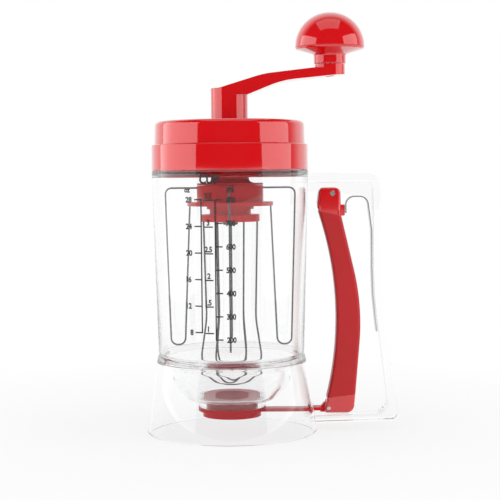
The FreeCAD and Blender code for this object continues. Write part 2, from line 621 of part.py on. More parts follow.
def make_outlet():
    """Outlet seal, and the housing under it that guides the gate."""
    seal = body("outlet_seal")
    turned(seal, [
        ("outlet_radius", "seal_top"),
        ("seal_radius", "seal_top"),
        ("seal_radius", "seal_seat + seat"),
        ("outlet_radius + lip_wall", "seal_seat + seat"),
        ("outlet_radius + lip_wall", GATE_TOP + " + play"),
        ("outlet_radius", GATE_TOP + " + play"),
    ], "SealRing")
    keep(seal)
    housing = body("valve_housing")
    turned(housing, [
        ("outlet_radius", "housing_bottom"),
        ("housing_radius", "housing_bottom"),
        ("housing_radius", "housing_step"),
        ("housing_flange_radius", "housing_step"),
        ("housing_flange_radius", "collar_level - seat"),
        ("collar_bore - 2 * seat", "collar_level - seat"),
        ("collar_bore - 2 * seat", "seal_seat - seat"),
        ("outlet_radius + lip_wall + play", "seal_seat - seat"),
        ("outlet_radius + lip_wall + play", GATE_TOP + " + slip"),
        ("outlet_radius", GATE_TOP + " + slip"),
    ], "Barrel")
    wide = "gate_radius + slip"
    corners = [("-gate_radius - slip", "-gate_radius - slip", "gate_radius"),
               ("2 * housing_flange_radius", "-gate_radius - slip"),
               ("2 * housing_flange_radius", wide),
               ("-gate_radius - slip", wide, "gate_radius")]
    slab(housing, "Pocket", "GateChannel", "XY", corners, "gate_thickness + 2 * slip", "One side",
         GATE_TOP + " + slip")
    keep(housing)


def make_gate():
    """Gate plate with a round front, its stem, and the slotted end that the link pin moves."""
    gate = body("gate_slide")
    tip = "link_reach + link_radius + slip + hook_wall"
    root = "link_reach - link_radius - slip - hook_wall"
    neck = "gate_shoulder + gate_neck"
    corners = [("-gate_radius", "-gate_radius", "gate_radius - slip"),
               ("gate_shoulder", "-gate_radius", "gate_bend"),
               (neck, "-stem_half_width", "gate_bend"),
               (root, "-stem_half_width"),
               (root, "stem_half_width"),
               (neck, "stem_half_width", "gate_bend"),
               ("gate_shoulder", "gate_radius", "gate_bend"),
               ("-gate_radius", "gate_radius", "gate_radius - slip")]
    slab(gate, "Pad", "Plate", "XY", corners, "gate_thickness", "One side", "gate_level")
    slot_bottom = LINK + " - link_radius - play"
    slot_top = LINK + " + link_radius + 3 * play"
    foot = slot_bottom + " - link_radius"
    head = slot_top + " + link_radius"
    corners = [(root + " - hook_wall / 2", foot), (tip, foot, "link_radius"), (tip, head, "link_radius"),
               (root + " + hook_wall / 2", head, "link_radius"), (root + " - hook_wall / 2", GATE_TOP)]
    slab(gate, "Pad", "SlottedEnd", "XZ", corners, "2 * hook_half_width")
    doc.recompute()
    corners = [("link_reach - link_radius - slip", slot_bottom, "link_radius"),
               ("link_reach + link_radius + slip", slot_bottom, "link_radius"),
               ("link_reach + link_radius + slip", slot_top, "link_radius"),
               ("link_reach - link_radius - slip", slot_top, "link_radius")]
    slab(gate, "Pocket", "PinSlot", "XZ", corners, "4 * hook_half_width")
    keep(gate)


def make_lid():
    """Red lid with its step and plug wall, and the seal round the plug."""
    lid = body("lid_cap")
    step = "jar_height + lid_skirt_height"
    groove = "plug_radius - lid_wall * 0.6"
    seal_bottom = "jar_height + lid_seal_height"
    seal_top = "jar_height + lid_seal_height + lid_seal_size"
    turned(lid, [
        ("lid_foot_radius", SHOULDER + " + seat"),
        ("lid_radius", step),
        ("lid_crown_radius + lid_draft", step),
        ("lid_crown_radius", LID_TOP, "lid_round"),
        ("bush_radius + seat / 2", LID_TOP),
        ("bush_radius + seat / 2", LID_CEILING),
        ("plug_radius - lid_wall", LID_CEILING),
        ("plug_radius - lid_wall", "jar_height - plug_depth"),
        ("plug_radius", "jar_height - plug_depth"),
        ("plug_radius", seal_bottom + " - seat"),
        (groove, seal_bottom + " - seat"),
        (groove, seal_top + " + seat"),
        ("plug_radius", seal_top + " + seat"),
        ("plug_radius", LID_CEILING),
        ("lid_crown_radius - lid_wall", LID_CEILING),
        ("lid_crown_radius - lid_wall", step + " - lid_wall"),
        ("neck_radius + 2 * slip", step + " - lid_wall"),
        ("neck_radius + 2 * slip", SHOULDER + " + seat"),
    ], "Cap")
    boss = disc(lid, "Pad", "ScrewBoss", "XY", LID_CEILING + " - screw_grip", "screw_circle", "0",
                "screw_boss_radius", "screw_grip + lid_wall / 2")
    repeat(lid, [boss], 3, "ScrewBosses")
    doc.recompute()
    bore = disc(lid, "Pocket", "ScrewBore", "XY", LID_CEILING + " - screw_grip", "screw_circle", "0",
                "screw_radius + seat / 2", "screw_grip", back=True)
    repeat(lid, [bore], 3, "ScrewBores")
    keep(lid)
    seal = body("lid_seal")
    turned(seal, [
        (groove + " + seat", seal_bottom),
        ("neck_radius - jar_wall - play", seal_bottom),
        ("neck_radius - jar_wall - play", seal_top),
        (groove + " + seat", seal_top),
    ], "SealRing")
    keep(seal)


def make_carrier():
    """Spool-shaped hub under the lid, its screws, the shaft's bush and the planet pins."""
    hub = body("gear_carrier")
    foot_top = LID_CEILING + " - screw_grip"
    foot_bottom = foot_top + " - hub_foot_height"
    bush_bottom = LID_TOP + " - bush_length"
    flange_top = CARRIER_FACE + " + carrier_edge"
    turned(hub, [
        ("bush_radius + seat / 2", foot_top),
        ("hub_foot_radius", foot_top),
        ("hub_foot_radius", foot_bottom),
        ("hub_radius + hub_draft", foot_bottom),
        ("hub_radius", "jar_height - hub_swell_drop", "hub_bend"),
        ("hub_waist_radius", "jar_height - hub_waist_drop", "hub_waist_bend"),
        ("carrier_plate_radius - carrier_edge", flange_top),
        ("carrier_radius", flange_top),
        ("carrier_radius", CARRIER_FACE),
        ("carrier_plate_radius", CARRIER_FACE),
        ("carrier_plate_radius", PLATE_FACE),
        ("shaft_radius + slip", PLATE_FACE),
        ("shaft_radius + slip", bush_bottom),
        ("bush_radius + seat / 2", bush_bottom),
    ], "Spool")
    pin_bore = disc(hub, "Pocket", "PinBore", "XY", PLATE_FACE, PLANET_REACH, "0", "pin_radius + seat / 2",
                    "pin_hold", back=True)
    repeat(hub, [pin_bore], 3, "PinBores")
    doc.recompute()
    screw_bore = disc(hub, "Pocket", "ScrewBore", "XY", foot_top, "screw_circle", "0",
                      "screw_radius + seat", "2 * hub_foot_height")
    repeat(hub, [screw_bore], 3, "ScrewBores")
    keep(hub)

    screws = body("carrier_screw")
    disc(screws, "Pad", "Shank", "XY", foot_bottom, "screw_circle", "0", "screw_radius",
         "hub_foot_height + screw_grip - screw_room")
    disc(screws, "Pad", "Head", "XY", foot_bottom + " - screw_head_height", "screw_circle", "0",
         "screw_head_radius", "screw_head_height")
    keep(scatter(screws, "carrier_screws"))

    bush = body("shaft_bush")
    turned(bush, [
        ("shaft_radius + slip / 2", bush_bottom + " + seat"),
        ("bush_radius", bush_bottom + " + seat"),
        ("bush_radius", LID_TOP + " + play / 2"),
        ("shaft_radius + slip / 2", LID_TOP + " + play / 2"),
    ], "Bush")
    keep(bush)

    pins = body("planet_pin")
    disc(pins, "Pad", "Stem", "XY", GEAR_BOTTOM + " - play", PLANET_REACH, "0", "pin_radius",
         "gear_width + 2 * play + pin_hold - seat")
    disc(pins, "Pad", "Head", "XY", GEAR_BOTTOM + " - play - pin_head_height", PLANET_REACH, "0",
         "pin_head_radius", "pin_head_height")
    keep(scatter(pins, "planet_pins"))


def scatter(original, name):
    """Group of three equal solids round the axis, made from one body."""
    doc.recompute()
    copies = []
    for turn in range(3):
        link = doc.addObject("Part::Feature", name + "_%d" % turn)
        link.Shape = original.Shape
        link.Placement = Placement(Vector(0, 0, 0), Rotation(Vector(0, 0, 1), 120 * turn))
        copies.append(link)
    group = doc.addObject("Part::Compound", name)
    group.Links = copies
    return group


# Gear teeth: involute flanks, each drawn as one arc through three points of the involute
def flank_angle(radius, base_radius):
    """Polar angle that an involute has turned through where it reaches a radius."""
    roll = math.sqrt(max((radius / base_radius) ** 2 - 1, 0))
    return roll - math.atan(roll)


def gear_face(teeth, tip_radius, root_radius, thickening, phase):
    """Flat face of an external gear; thickening widens each tooth at the pitch circle."""
    pitch_radius = teeth * number("gear_module") / 2
    base_radius = pitch_radius * math.cos(math.radians(number("pressure_angle")))
    start_radius = max(root_radius, base_radius)
    half_pitch = math.pi / (2 * teeth) + thickening / (2 * pitch_radius)

    def half_angle(radius):
        return half_pitch - flank_angle(radius, base_radius) + flank_angle(pitch_radius, base_radius)

    def spot(radius, angle):
        return Vector(radius * math.cos(angle), radius * math.sin(angle), 0)

    middle_radius = (start_radius + tip_radius) / 2
    edges = []
    for tooth in range(teeth):
        centre = phase + 2 * math.pi * tooth / teeth
        next_centre = centre + 2 * math.pi / teeth
        for side in (-1, 1):
            radii = (start_radius, middle_radius, tip_radius)[::-side]
            flank = [spot(radius, centre + side * half_angle(radius)) for radius in radii]
            if side == 1:
                tip = [spot(tip_radius, centre + turn * half_angle(tip_radius)) for turn in (-1, 0, 1)]
                edges.append(Part.Arc(*tip).toShape())
            root_edge = spot(root_radius, centre + side * half_angle(start_radius))
            if side == -1 and start_radius > root_radius:
                edges.append(Part.LineSegment(root_edge, flank[0]).toShape())
            edges.append(Part.Arc(*flank).toShape())
            if side == 1 and start_radius > root_radius:
                edges.append(Part.LineSegment(flank[2], root_edge).toShape())
        root = (spot(root_radius, centre + half_angle(start_radius)),
                spot(root_radius, (centre + next_centre) / 2),
                spot(root_radius, next_centre - half_angle(start_radius)))
        edges.append(Part.Arc(*root).toShape())
    return Part.Face(Part.Wire(edges))


def toothed(name, face, bore, bottom, height):
    """Gear wheel: the face with its bore, at its level."""
    hole = Part.Face(Part.Wire(Part.makeCircle(bore)))
    wheel = doc.addObject("Part::Feature", name)
    wheel.Label = name
    wheel.Shape = face.cut(hole).extrude(Vector(0, 0, height))
    wheel.Placement = Placement(Vector(0, 0, bottom), Rotation())
    return wheel


def make_gears():
    """Sun gear and planets."""
    module = number("gear_module")
    for name, size in (("sun_gear", "sun_teeth"), ("planet_gear", "planet_teeth")):
        teeth = int(number(size))
        pitch_radius = teeth * module / 2
        tip = pitch_radius + module
        root = pitch_radius - module - number("tooth_relief")
        if name == "sun_gear":
            face = gear_face(teeth, tip, root, -number("backlash") / 2, 0)
            bore = number("shaft_radius")
            keep(toothed(name, face, bore, number(GEAR_BOTTOM), number("gear_width")))
            continue
        for turn in range(3):
            face = gear_face(teeth, tip, root, -number("backlash") / 2, math.pi + math.pi / teeth)
            bore = number("pin_radius + slip / 2")
            planet = toothed("%s_%d" % (name, turn + 1), face, bore, 0, number("gear_width"))
            spin = Rotation(Vector(0, 0, 1), 120 * turn)
            centre = spin.multVec(Vector(number(PLANET_REACH), 0, number(GEAR_BOTTOM)))
            planet.Placement = Placement(centre, spin)
            keep(planet)


def make_cup():
    """Gear cup of the outer whisk: a body with its flange, less the ring gear's tooth spaces."""
    cup = body("gear_cup_blank")
    floor = CUP_FLOOR
    ring_teeth = int(number("sun_teeth + 2 * planet_teeth"))
    ring_tip = ring_teeth * number("gear_module") / 2 - number("ring_addendum")
    ring_root = ring_teeth * number("gear_module") / 2 + number("gear_module + tooth_relief")
    flange_top = CUP_BOTTOM + " + cup_flange_height"
    inner = "((sun_teeth + 2 * planet_teeth) / 2 * gear_module - ring_addendum)"
    turned(cup, [
        ("shaft_radius + slip", CUP_BOTTOM),
        ("cup_flange_radius", CUP_BOTTOM),
        ("cup_flange_radius", flange_top),
        ("cup_radius", flange_top),
        ("cup_radius", CUP_RIM),
        (inner, CUP_RIM),
        (inner, floor),
        ("shaft_radius + slip", floor),
    ], "CupWall")
    arm = CUP_RIM + " - outer_arm_drop"
    grip = disc(cup, "Pocket", "ArmSocket", "YZ", "cup_radius - wire_grip", "0", arm,
                "wire_radius + seat / 2", "2 * wire_grip", back=True)
    repeat(cup, [grip], 4, "ArmSockets")
    doc.recompute()
    root = disc(cup, "Pocket", "LegSocket", "XY", CUP_BOTTOM, "outer_root_radius", "0",
                "wire_radius + seat / 2", "wire_grip", back=True)
    repeat(cup, [root], 4, "LegSockets")
    doc.recompute()
    teeth = doc.addObject("Part::Feature", "ring_tooth_spaces")
    half_space = math.pi / ring_teeth
    inside_bore = ring_tip - number("tooth_relief")
    face = gear_face(ring_teeth, ring_root, inside_bore, number("backlash") / 2, half_space)
    teeth.Shape = face.extrude(Vector(0, 0, number(CUP_RIM) - number(floor)))
    teeth.Placement = Placement(Vector(0, 0, number(floor)), Rotation())
    toothed_cup = doc.addObject("Part::Cut", "ring_gear_cup")
    toothed_cup.Base = cup
    toothed_cup.Tool = teeth
    keep(toothed_cup, "ring_gear_cup")


def wire_loop(name, route, start_plane, lift, centre, turn):
    """One whisk wire bent along its route and turned about the axis."""
    loop = body(name)
    swept(loop, route, centre, "Wire", start_plane, lift,
          lambda sketch, spot: ring(sketch, spot[0], spot[1], "wire_radius"))
    loop.Placement = Placement(Vector(0, 0, 0), Rotation(Vector(0, 0, 1), turn))
    return keep(loop)


def make_whisks():
    """Four bent loops of the outer whisk and three balloon loops of the inner one."""
    arm = CUP_RIM + " - outer_arm_drop"
    start = "cup_radius - wire_grip + seat"
    route = [
        (start, arm),
        ("outer_reach", arm, "outer_elbow"),
        ("outer_foot_reach", "outer_foot_height", "outer_foot_bend"),
        ("outer_foot_return", "outer_foot_height", "outer_foot_bend"),
        ("outer_root_radius", CUP_BOTTOM + " + wire_grip - seat"),
    ]
    for turn in range(4):
        wire_loop("outer_whisk_loop_%d" % (turn + 1), route, "YZ", start, ("0", arm), 90 * turn)
    top = DISC_BOTTOM + " + wire_grip - seat"
    for turn in range(3):
        foot = "inner_foot_height + %d * (2 * wire_radius + slip)" % turn
        route = [
            ("inner_root_radius", top),
            ("inner_root_radius", DISC_BOTTOM + " - leg_drop", "leg_bend"),
            ("inner_waist_reach", "inner_waist_level", "waist_bend"),
            ("inner_foot_reach", foot, "balloon_bend"),
            ("-inner_foot_reach", foot, "balloon_bend"),
            ("-inner_waist_reach", "inner_waist_level", "waist_bend"),
            ("-inner_root_radius", DISC_BOTTOM + " - leg_drop", "leg_bend"),
            ("-inner_root_radius", top),
        ]
        wire_loop("inner_whisk_loop_%d" % (turn + 1), route, "XY", top, ("inner_root_radius", "0"),
                  60 * turn)


def make_shaft():
    """Drive shaft, the hub that it turns, and the screw under the hub."""
    shaft = body("drive_shaft")
    disc(shaft, "Pad", "Rod", "XY", DISC_BOTTOM, "0", "0", "shaft_radius",
         CRANK_FOOT + " + shaft_rise - " + DISC_BOTTOM)
    keep(shaft)
    hub = body("inner_whisk_hub")
    waist_top = DISC_TOP + " + inner_waist_height"
    turned(hub, [
        ("shaft_radius", DISC_BOTTOM),
        ("inner_disc_radius", DISC_BOTTOM),
        ("inner_disc_radius", DISC_TOP),
        ("inner_waist_radius", DISC_TOP),
        ("inner_waist_radius", waist_top),
        ("inner_hub_radius", waist_top),
        ("inner_hub_radius", INNER_TOP),
        ("shaft_radius", INNER_TOP),
    ], "Hub")
    socket = disc(hub, "Pocket", "LegSocket", "XY", DISC_BOTTOM, "inner_root_radius", "0",
                  "wire_radius + seat / 2", "wire_grip", back=True)
    repeat(hub, [socket], 6, "LegSockets")
    keep(hub)
    screw = body("shaft_end_screw")
    turned(screw, [
        ("0", DISC_BOTTOM),
        ("0", DISC_BOTTOM + " - end_screw_height"),
        ("end_screw_radius", DISC_BOTTOM + " - end_screw_height", "end_screw_height / 2"),
        ("end_screw_radius", DISC_BOTTOM),
    ], "Head")
    keep(screw)


def capsule(sketch, reach, near_radius, far_radius):
    """Draw the outline that wraps two circles, one on the origin and one at x = reach."""
    far = number(reach)
    radii = (number(near_radius), number(far_radius))
    lean = math.acos((radii[0] - radii[1]) / far)
    tops = [Vector(x + radius * math.cos(lean), radius * math.sin(lean), 0) for x, radius in zip((0, far), radii)]
    bottoms = [Vector(top.x, -top.y, 0) for top in tops]
    axis = Vector(0, 0, 1)
    sketch.addGeometry([
        Part.ArcOfCircle(Part.Circle(Vector(0, 0, 0), axis, radii[0]), lean, 2 * math.pi - lean),
        Part.ArcOfCircle(Part.Circle(Vector(far, 0, 0), axis, radii[1]), -lean, lean),
        Part.LineSegment(tops[0], tops[1]),
        Part.LineSegment(bottoms[1], bottoms[0]),
    ], False)
    near, beyond, upper, lower = range(4)
    rules = [Sketcher.Constraint("Coincident", near, 3, -1, 1), Sketcher.Constraint("PointOnObject", beyond, 3, -1)]
    for line, end, arc, arc_end in ((upper, 1, near, 1), (upper, 2, beyond, 2),
                                    (lower, 1, beyond, 1), (lower, 2, near, 2)):
        rules.append(Sketcher.Constraint("Tangent", line, end, arc, arc_end))
    first = len(rules)
    rules += [Sketcher.Constraint("DistanceX", -1, 1, beyond, 3, far),
              Sketcher.Constraint("Radius", near, radii[0]),
              Sketcher.Constraint("Radius", beyond, radii[1])]
    sketch.addConstraint(rules)
    for place, text in enumerate((reach, near_radius, far_radius)):
        bind(sketch, "Constraints[%d]" % (first + place), text)


def make_crank():
    """Crank: post over the lid, an arm that rises outward and narrows, and the boss for the knob."""
    crank = body("crank_arm")
    end = "crank_throw + crank_end_radius"
    step = "crank_throw - crank_end_radius"
    lid = "(jar_height + lid_height)"
    root = lid + " + crank_hub_height"
    slope_top = lid + " + crank_slope_top"
    end_bottom = lid + " + crank_end_bottom"
    above = lid + " + 2 * crank_end_top"
    beyond = "2 * crank_throw"
    disc(crank, "Pad", "Post", "XY", CRANK_FOOT, "0", "0", "crank_hub_radius",
         "crank_hub_height - play - crank_root")
    plan = plane_sketch(crank, "XY", "ArmPlan", ARM_FOOT)
    capsule(plan, "crank_throw", "crank_hub_radius", "crank_end_radius")
    profiled(crank, "Pad", plan, "Arm", "crank_end_top - crank_hub_height + crank_root")
    doc.recompute()
    slab(crank, "Pocket", "OverArm", "XZ", [
        ("-2 * crank_hub_radius", above),
        ("-2 * crank_hub_radius", root),
        ("-crank_hub_radius / 2", root, "crank_rise_bend"),
        ("crank_back_reach", lid + " + crank_back_height", "crank_back_bend"),
        (step, slope_top),
        (beyond, slope_top),
        (beyond, above),
    ], "4 * crank_hub_radius")
    doc.recompute()
    slab(crank, "Pocket", "UnderArm", "XZ", [
        ("crank_hub_radius", ARM_FOOT),
        ("crank_knee_reach", lid + " + crank_knee", "crank_back_bend"),
        (end, end_bottom),
        (beyond, end_bottom),
        (beyond, CRANK_FOOT),
        ("crank_hub_radius", CRANK_FOOT),
    ], "4 * crank_hub_radius")
    doc.recompute()
    disc(crank, "Pad", "EndBoss", "XY", end_bottom, "crank_throw", "0", "crank_end_radius",
         "crank_end_top - crank_end_bottom")
    doc.recompute()
    disc(crank, "Pocket", "ShaftBore", "XY", CRANK_FOOT, "0", "0", "shaft_radius", "shaft_rise", back=True)
    doc.recompute()
    disc(crank, "Pocket", "KnobBore", "XY", END_TOP, "crank_throw", "0", "knob_pin_radius",
         "crank_end_top")
    keep(crank)


def half_ball(name, radius):
    """Upper half of a ball that stands on the knob's seam."""
    ball = doc.addObject("Part::Sphere", name)
    ball.Angle1 = 0
    bind(ball, "Radius", radius)
    bind(ball, "Placement.Base.x", "crank_throw")
    bind(ball, "Placement.Base.z", KNOB_RIM)
    return ball


def make_knob():
    """Knob: a stem and underside, a dome over them, and the shoulder screw that they turn on."""
    inner_seat = "knob_pin_radius + slip"
    stem_top = KNOB_FOOT + " + knob_stem_height"
    floor = stem_top + " + knob_wall"
    base = body("knob_base")
    turned(base, [
        (inner_seat, KNOB_FOOT),
        ("knob_stem_radius", KNOB_FOOT),
        ("knob_stem_radius", stem_top),
        ("knob_radius - knob_lip / 2", KNOB_RIM + " - knob_lip"),
        ("knob_radius", KNOB_RIM + " - seat"),
        ("knob_radius - knob_wall", KNOB_RIM + " - seat"),
        ("knob_stem_radius", floor),
        (inner_seat, floor),
    ], "Base", centre="crank_throw")
    keep(base)
    dome = doc.addObject("Part::Cut", "knob_cap")
    dome.Base = half_ball("dome_outside", "knob_radius")
    dome.Tool = half_ball("dome_inside", "knob_radius - knob_wall")
    keep(dome, "knob_cap")
    screw = body("knob_screw")
    end = LID_TOP + " + crank_end_bottom + knob_pin_room"
    turned(screw, [
        ("0", end),
        ("knob_pin_radius", end),
        ("knob_pin_radius", floor + " + play"),
        ("knob_pin_head", floor + " + play"),
        ("knob_pin_head", floor + " + play + knob_pin_rise"),
        ("0", floor + " + play + knob_pin_rise"),
    ], "Screw", centre="crank_throw")
    keep(screw)


def eased(before, corner, after, share):
    """Bend radius at a corner whose arc takes a share of the shorter of its two sides."""
    sides = []
    for spot in (before, after):
        sides.append(("(%s - (%s))" % (spot[0], corner[0]), "(%s - (%s))" % (spot[1], corner[1])))
    lengths = ["sqrt(%s ^ 2 + %s ^ 2)" % side for side in sides]
    along = "(%s * %s + %s * %s)" % (sides[0][0], sides[1][0], sides[0][1], sides[1][1])
    across = "abs(%s * %s - %s * %s)" % (sides[0][0], sides[1][1], sides[0][1], sides[1][0])
    half_turn = "(%s / (%s * %s + %s))" % (across, lengths[0], lengths[1], along)
    return "%s * min(%s; %s) * %s" % (share, lengths[0], lengths[1], half_turn)


def trigger_outline(inset):
    """Side outline of the trigger, drawn in by inset."""
    neck = ("trigger_back_reach - %s" % inset, PIVOT + " - trigger_neck_drop")
    swell = ("trigger_swell_reach - %s" % inset, "trigger_swell_height")
    heel = ("trigger_foot_reach - %s" % inset, "trigger_foot_level + %s" % inset)
    toe = ("trigger_toe_reach + %s" % inset, "trigger_foot_level + %s" % inset)
    hollow = ("trigger_front_reach + %s" % inset, "trigger_front_height")
    nose = ("trigger_nose_reach + %s" % inset, PIVOT + " - trigger_nose_drop")
    brow = PIVOT + " + trigger_head_rise - %s" % inset
    return [
        ("trigger_head_reach + %s" % inset, brow, "trigger_brow_bend"),
        ("trigger_back_reach - %s" % inset, brow, "trigger_crown_bend"),
        neck + ("trigger_neck_bend",),
        swell + (eased(neck, swell, heel, "trigger_back_ease"),),
        heel + ("trigger_heel_bend",),
        toe + ("trigger_edge",),
        hollow + (eased(toe, hollow, nose, "trigger_front_ease"),),
        nose + ("trigger_nose_bend",),
    ]


def make_trigger():
    """Trigger lever with forked ends, the grip round its middle, and the pin across its foot."""
    form = body("trigger_form")
    block = slab(form, "Pad", "Block", "XZ", trigger_outline("0"), "2 * trigger_half_width")

    def along(edge):
        bounds = edge.BoundBox
        side = number("trigger_half_width")
        return abs(abs(bounds.YMin) - side) < 0.01 and abs(bounds.YMax - bounds.YMin) < 0.01

    rounded(form, block, "trigger_edge", along, "BlockEdges")
    clip_back = "trigger_back_reach + spring_clip"
    clip_foot = "spring_root_level - 2 * spring_thickness"
    clip_top = "spring_root_level + spring_clip_rise"
    slab(form, "Pad", "SpringClip", "XZ", [
        ("trigger_back_reach - trigger_edge", clip_foot),
        (clip_back, clip_foot, "spring_thickness"),
        (clip_back, clip_top, "spring_thickness"),
        ("trigger_back_reach - trigger_edge", clip_top),
    ], "2 * spring_half_width + 2 * web_step")
    doc.recompute()
    before = "trigger_head_reach - trigger_half_width"
    behind = "trigger_back_reach + trigger_half_width"
    fork_bottom = PIVOT + " - lug_radius - fork_depth"
    fork_top = PIVOT + " + 3 * trigger_head_rise"
    slab(form, "Pocket", "HeadFork", "XZ", [
        (before, fork_bottom),
        (behind, fork_bottom),
        (behind, fork_top),
        (before, fork_top),
    ], "2 * (web_half_width + play)")
    doc.recompute()
    disc(form, "Pocket", "PivotHole", "XZ", "0", "pivot_reach", PIVOT, "pivot_radius + slip",
         "4 * trigger_half_width", "Symmetric")
    doc.recompute()
    toe = "trigger_toe_reach - trigger_half_width"
    below = "trigger_foot_level - 2 * trigger_edge"
    slot_front = "link_reach + link_radius + slip + hook_wall + 2 * play"
    slot_top = LINK + " + link_radius + fork_rise"
    slab(form, "Pocket", "FootFork", "XZ", [
        (toe, below),
        (slot_front, below),
        (slot_front, slot_top, "link_radius"),
        (toe, slot_top),
    ], "2 * (hook_half_width + play)")
    doc.recompute()
    relief = "link_reach - link_radius - hook_wall + play"
    relief_top = GATE_TOP + " + 3 * play"
    slab(form, "Pocket", "StemRelief", "XZ", [
        (toe, below),
        (relief, below),
        (relief, relief_top),
        (toe, relief_top),
    ], "2 * (stem_half_width + play)")
    doc.recompute()
    disc(form, "Pocket", "LinkHole", "XZ", "0", "link_reach", LINK, "link_radius + seat / 2",
         "4 * trigger_half_width", "Symmetric")

    core = body("grip_core")
    slab(core, "Pad", "Core", "XZ", trigger_outline("grip_wall"), "2 * (trigger_half_width - grip_wall)")
    zone = body("grip_zone")
    front = "trigger_nose_reach - trigger_half_width"
    back = "trigger_swell_reach + trigger_half_width"
    slab(zone, "Pad", "Zone", "XZ", [
        (front, "grip_top + grip_slant"),
        (front, "grip_bottom - grip_slant / 2"),
        (back, "grip_bottom + grip_slant / 2"),
        (back, "grip_top - grip_slant"),
    ], "3 * trigger_half_width")
    overlap = doc.addObject("Part::Common", "grip_block")
    overlap.Base = form
    overlap.Tool = zone
    grip = doc.addObject("Part::Cut", "trigger_grip")
    grip.Base = overlap
    grip.Tool = core
    keep(grip, "trigger_grip")
    lever = doc.addObject("Part::Cut", "trigger_lever")
    lever.Base = form
    lever.Tool = grip
    keep(lever, "trigger_lever")

    for name, reach, level, radius in (("trigger_pivot_pin", "pivot_reach", PIVOT, "pivot_radius"),
                                       ("link_pin", "link_reach", LINK, "link_radius")):
        pin = body(name)
        disc(pin, "Pad", "Pin", "XZ", "0", reach, level, radius,
             "2 * (trigger_half_width - %s / 2)" % radius, "Symmetric")
        keep(pin)


def make_spring():
    """Leaf spring: up from the trigger's back, over in an arch and down the handle's inner side."""
    spring = body("leaf_spring")
    start = "trigger_back_reach + spring_clip + spring_thickness"
    back = HANDLE_INSIDE + " - spring_thickness"
    share = "(handle_bend_height - spring_foot_level) / (handle_bend_height - %s)" % BAR_TOP
    foot = "%s + (%s - %s) * %s" % (back, HANDLE_INNER_FOOT, HANDLE_INSIDE, share)
    route = [
        (start, "spring_root_level"),
        (start, "spring_arch_top", "spring_bend"),
        (back + " - spring_bend / 2", "spring_arch_top", "spring_bend"),
        (back, "spring_root_level - 2 * spring_bend", "8 * spring_bend"),
        (back, "handle_bend_height", "handle_back_bend"),
        (foot, "spring_foot_level"),
    ]

    def strip(sketch, spot):
        half = "spring_thickness / 2"
        trace(sketch, [(spot + " - " + half, "-spring_half_width"), (spot + " + " + half, "-spring_half_width"),
                       (spot + " + " + half, "spring_half_width"), (spot + " - " + half, "spring_half_width")])

    swept(spring, route, start, "Strip", "XY", "spring_root_level", strip)
    keep(spring)


def check_document():
    """Stop if any object of the document failed or a sub-part's shape is unsound."""
    doc.recompute()
    for item in doc.Objects:
        if "Invalid" in item.State or "Error" in item.State:
            raise RuntimeError("%s did not build: %s" % (item.Label, item.State))
    for piece in pieces:
        if piece.Shape.isNull() or not piece.Shape.isValid() or piece.Shape.Volume <= 0:
            raise RuntimeError("%s has an unsound shape" % piece.Label)


def write_pieces():
    """Write each sub-part to a file of its own and list its size."""
    os.makedirs("parts", exist_ok=True)
    for piece in pieces:
        piece.Shape.exportStep(os.path.join("parts", piece.Label + ".step"))
        bounds = piece.Shape.BoundBox
        print("%-22s %8.1f mm3  solids %d  x %.1f..%.1f  y %.1f..%.1f  z %.1f..%.1f" % (
            piece.Label, piece.Shape.Volume, len(piece.Shape.Solids), bounds.XMin, bounds.XMax,
            bounds.YMin, bounds.YMax, bounds.ZMin, bounds.ZMax))


fill_sheet()
make_jar()
make_handle()
make_outlet()
make_gate()
make_lid()
make_carrier()
make_gears()
make_cup()
make_whisks()
make_shaft()
make_crank()
make_knob()
make_trigger()
make_spring()
check_document()
write_pieces()
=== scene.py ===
import logging
import math
from dataclasses import dataclass
from enum import Enum
from typing import Callable, Iterable, Sequence

import bmesh
import bpy
from mathutils import Matrix, Vector


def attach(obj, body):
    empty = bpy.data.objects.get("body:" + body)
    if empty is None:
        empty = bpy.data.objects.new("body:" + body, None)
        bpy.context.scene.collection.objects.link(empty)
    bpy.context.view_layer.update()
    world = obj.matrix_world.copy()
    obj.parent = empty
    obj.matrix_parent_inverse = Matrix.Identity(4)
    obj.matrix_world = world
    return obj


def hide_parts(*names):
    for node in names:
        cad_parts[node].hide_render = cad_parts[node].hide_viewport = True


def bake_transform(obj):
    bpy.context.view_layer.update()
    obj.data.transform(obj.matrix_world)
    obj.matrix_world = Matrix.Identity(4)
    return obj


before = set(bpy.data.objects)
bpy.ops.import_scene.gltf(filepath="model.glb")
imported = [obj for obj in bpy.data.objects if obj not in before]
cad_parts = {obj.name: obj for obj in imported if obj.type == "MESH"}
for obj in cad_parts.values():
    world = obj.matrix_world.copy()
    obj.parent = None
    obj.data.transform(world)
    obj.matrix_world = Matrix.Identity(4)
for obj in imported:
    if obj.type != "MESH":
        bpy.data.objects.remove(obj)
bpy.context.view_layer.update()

log = logging.getLogger("dispenser")

MM = 0.001
SHARP_EDGE = math.radians(32.0)
ON_AXIS = 1e-6
FINE_SEGMENTS = 256
FINE_ARC = 0.1
DOME_ARC = 0.05

Corner = tuple[float, ...]
Point = tuple[float, float]


# Shader maths

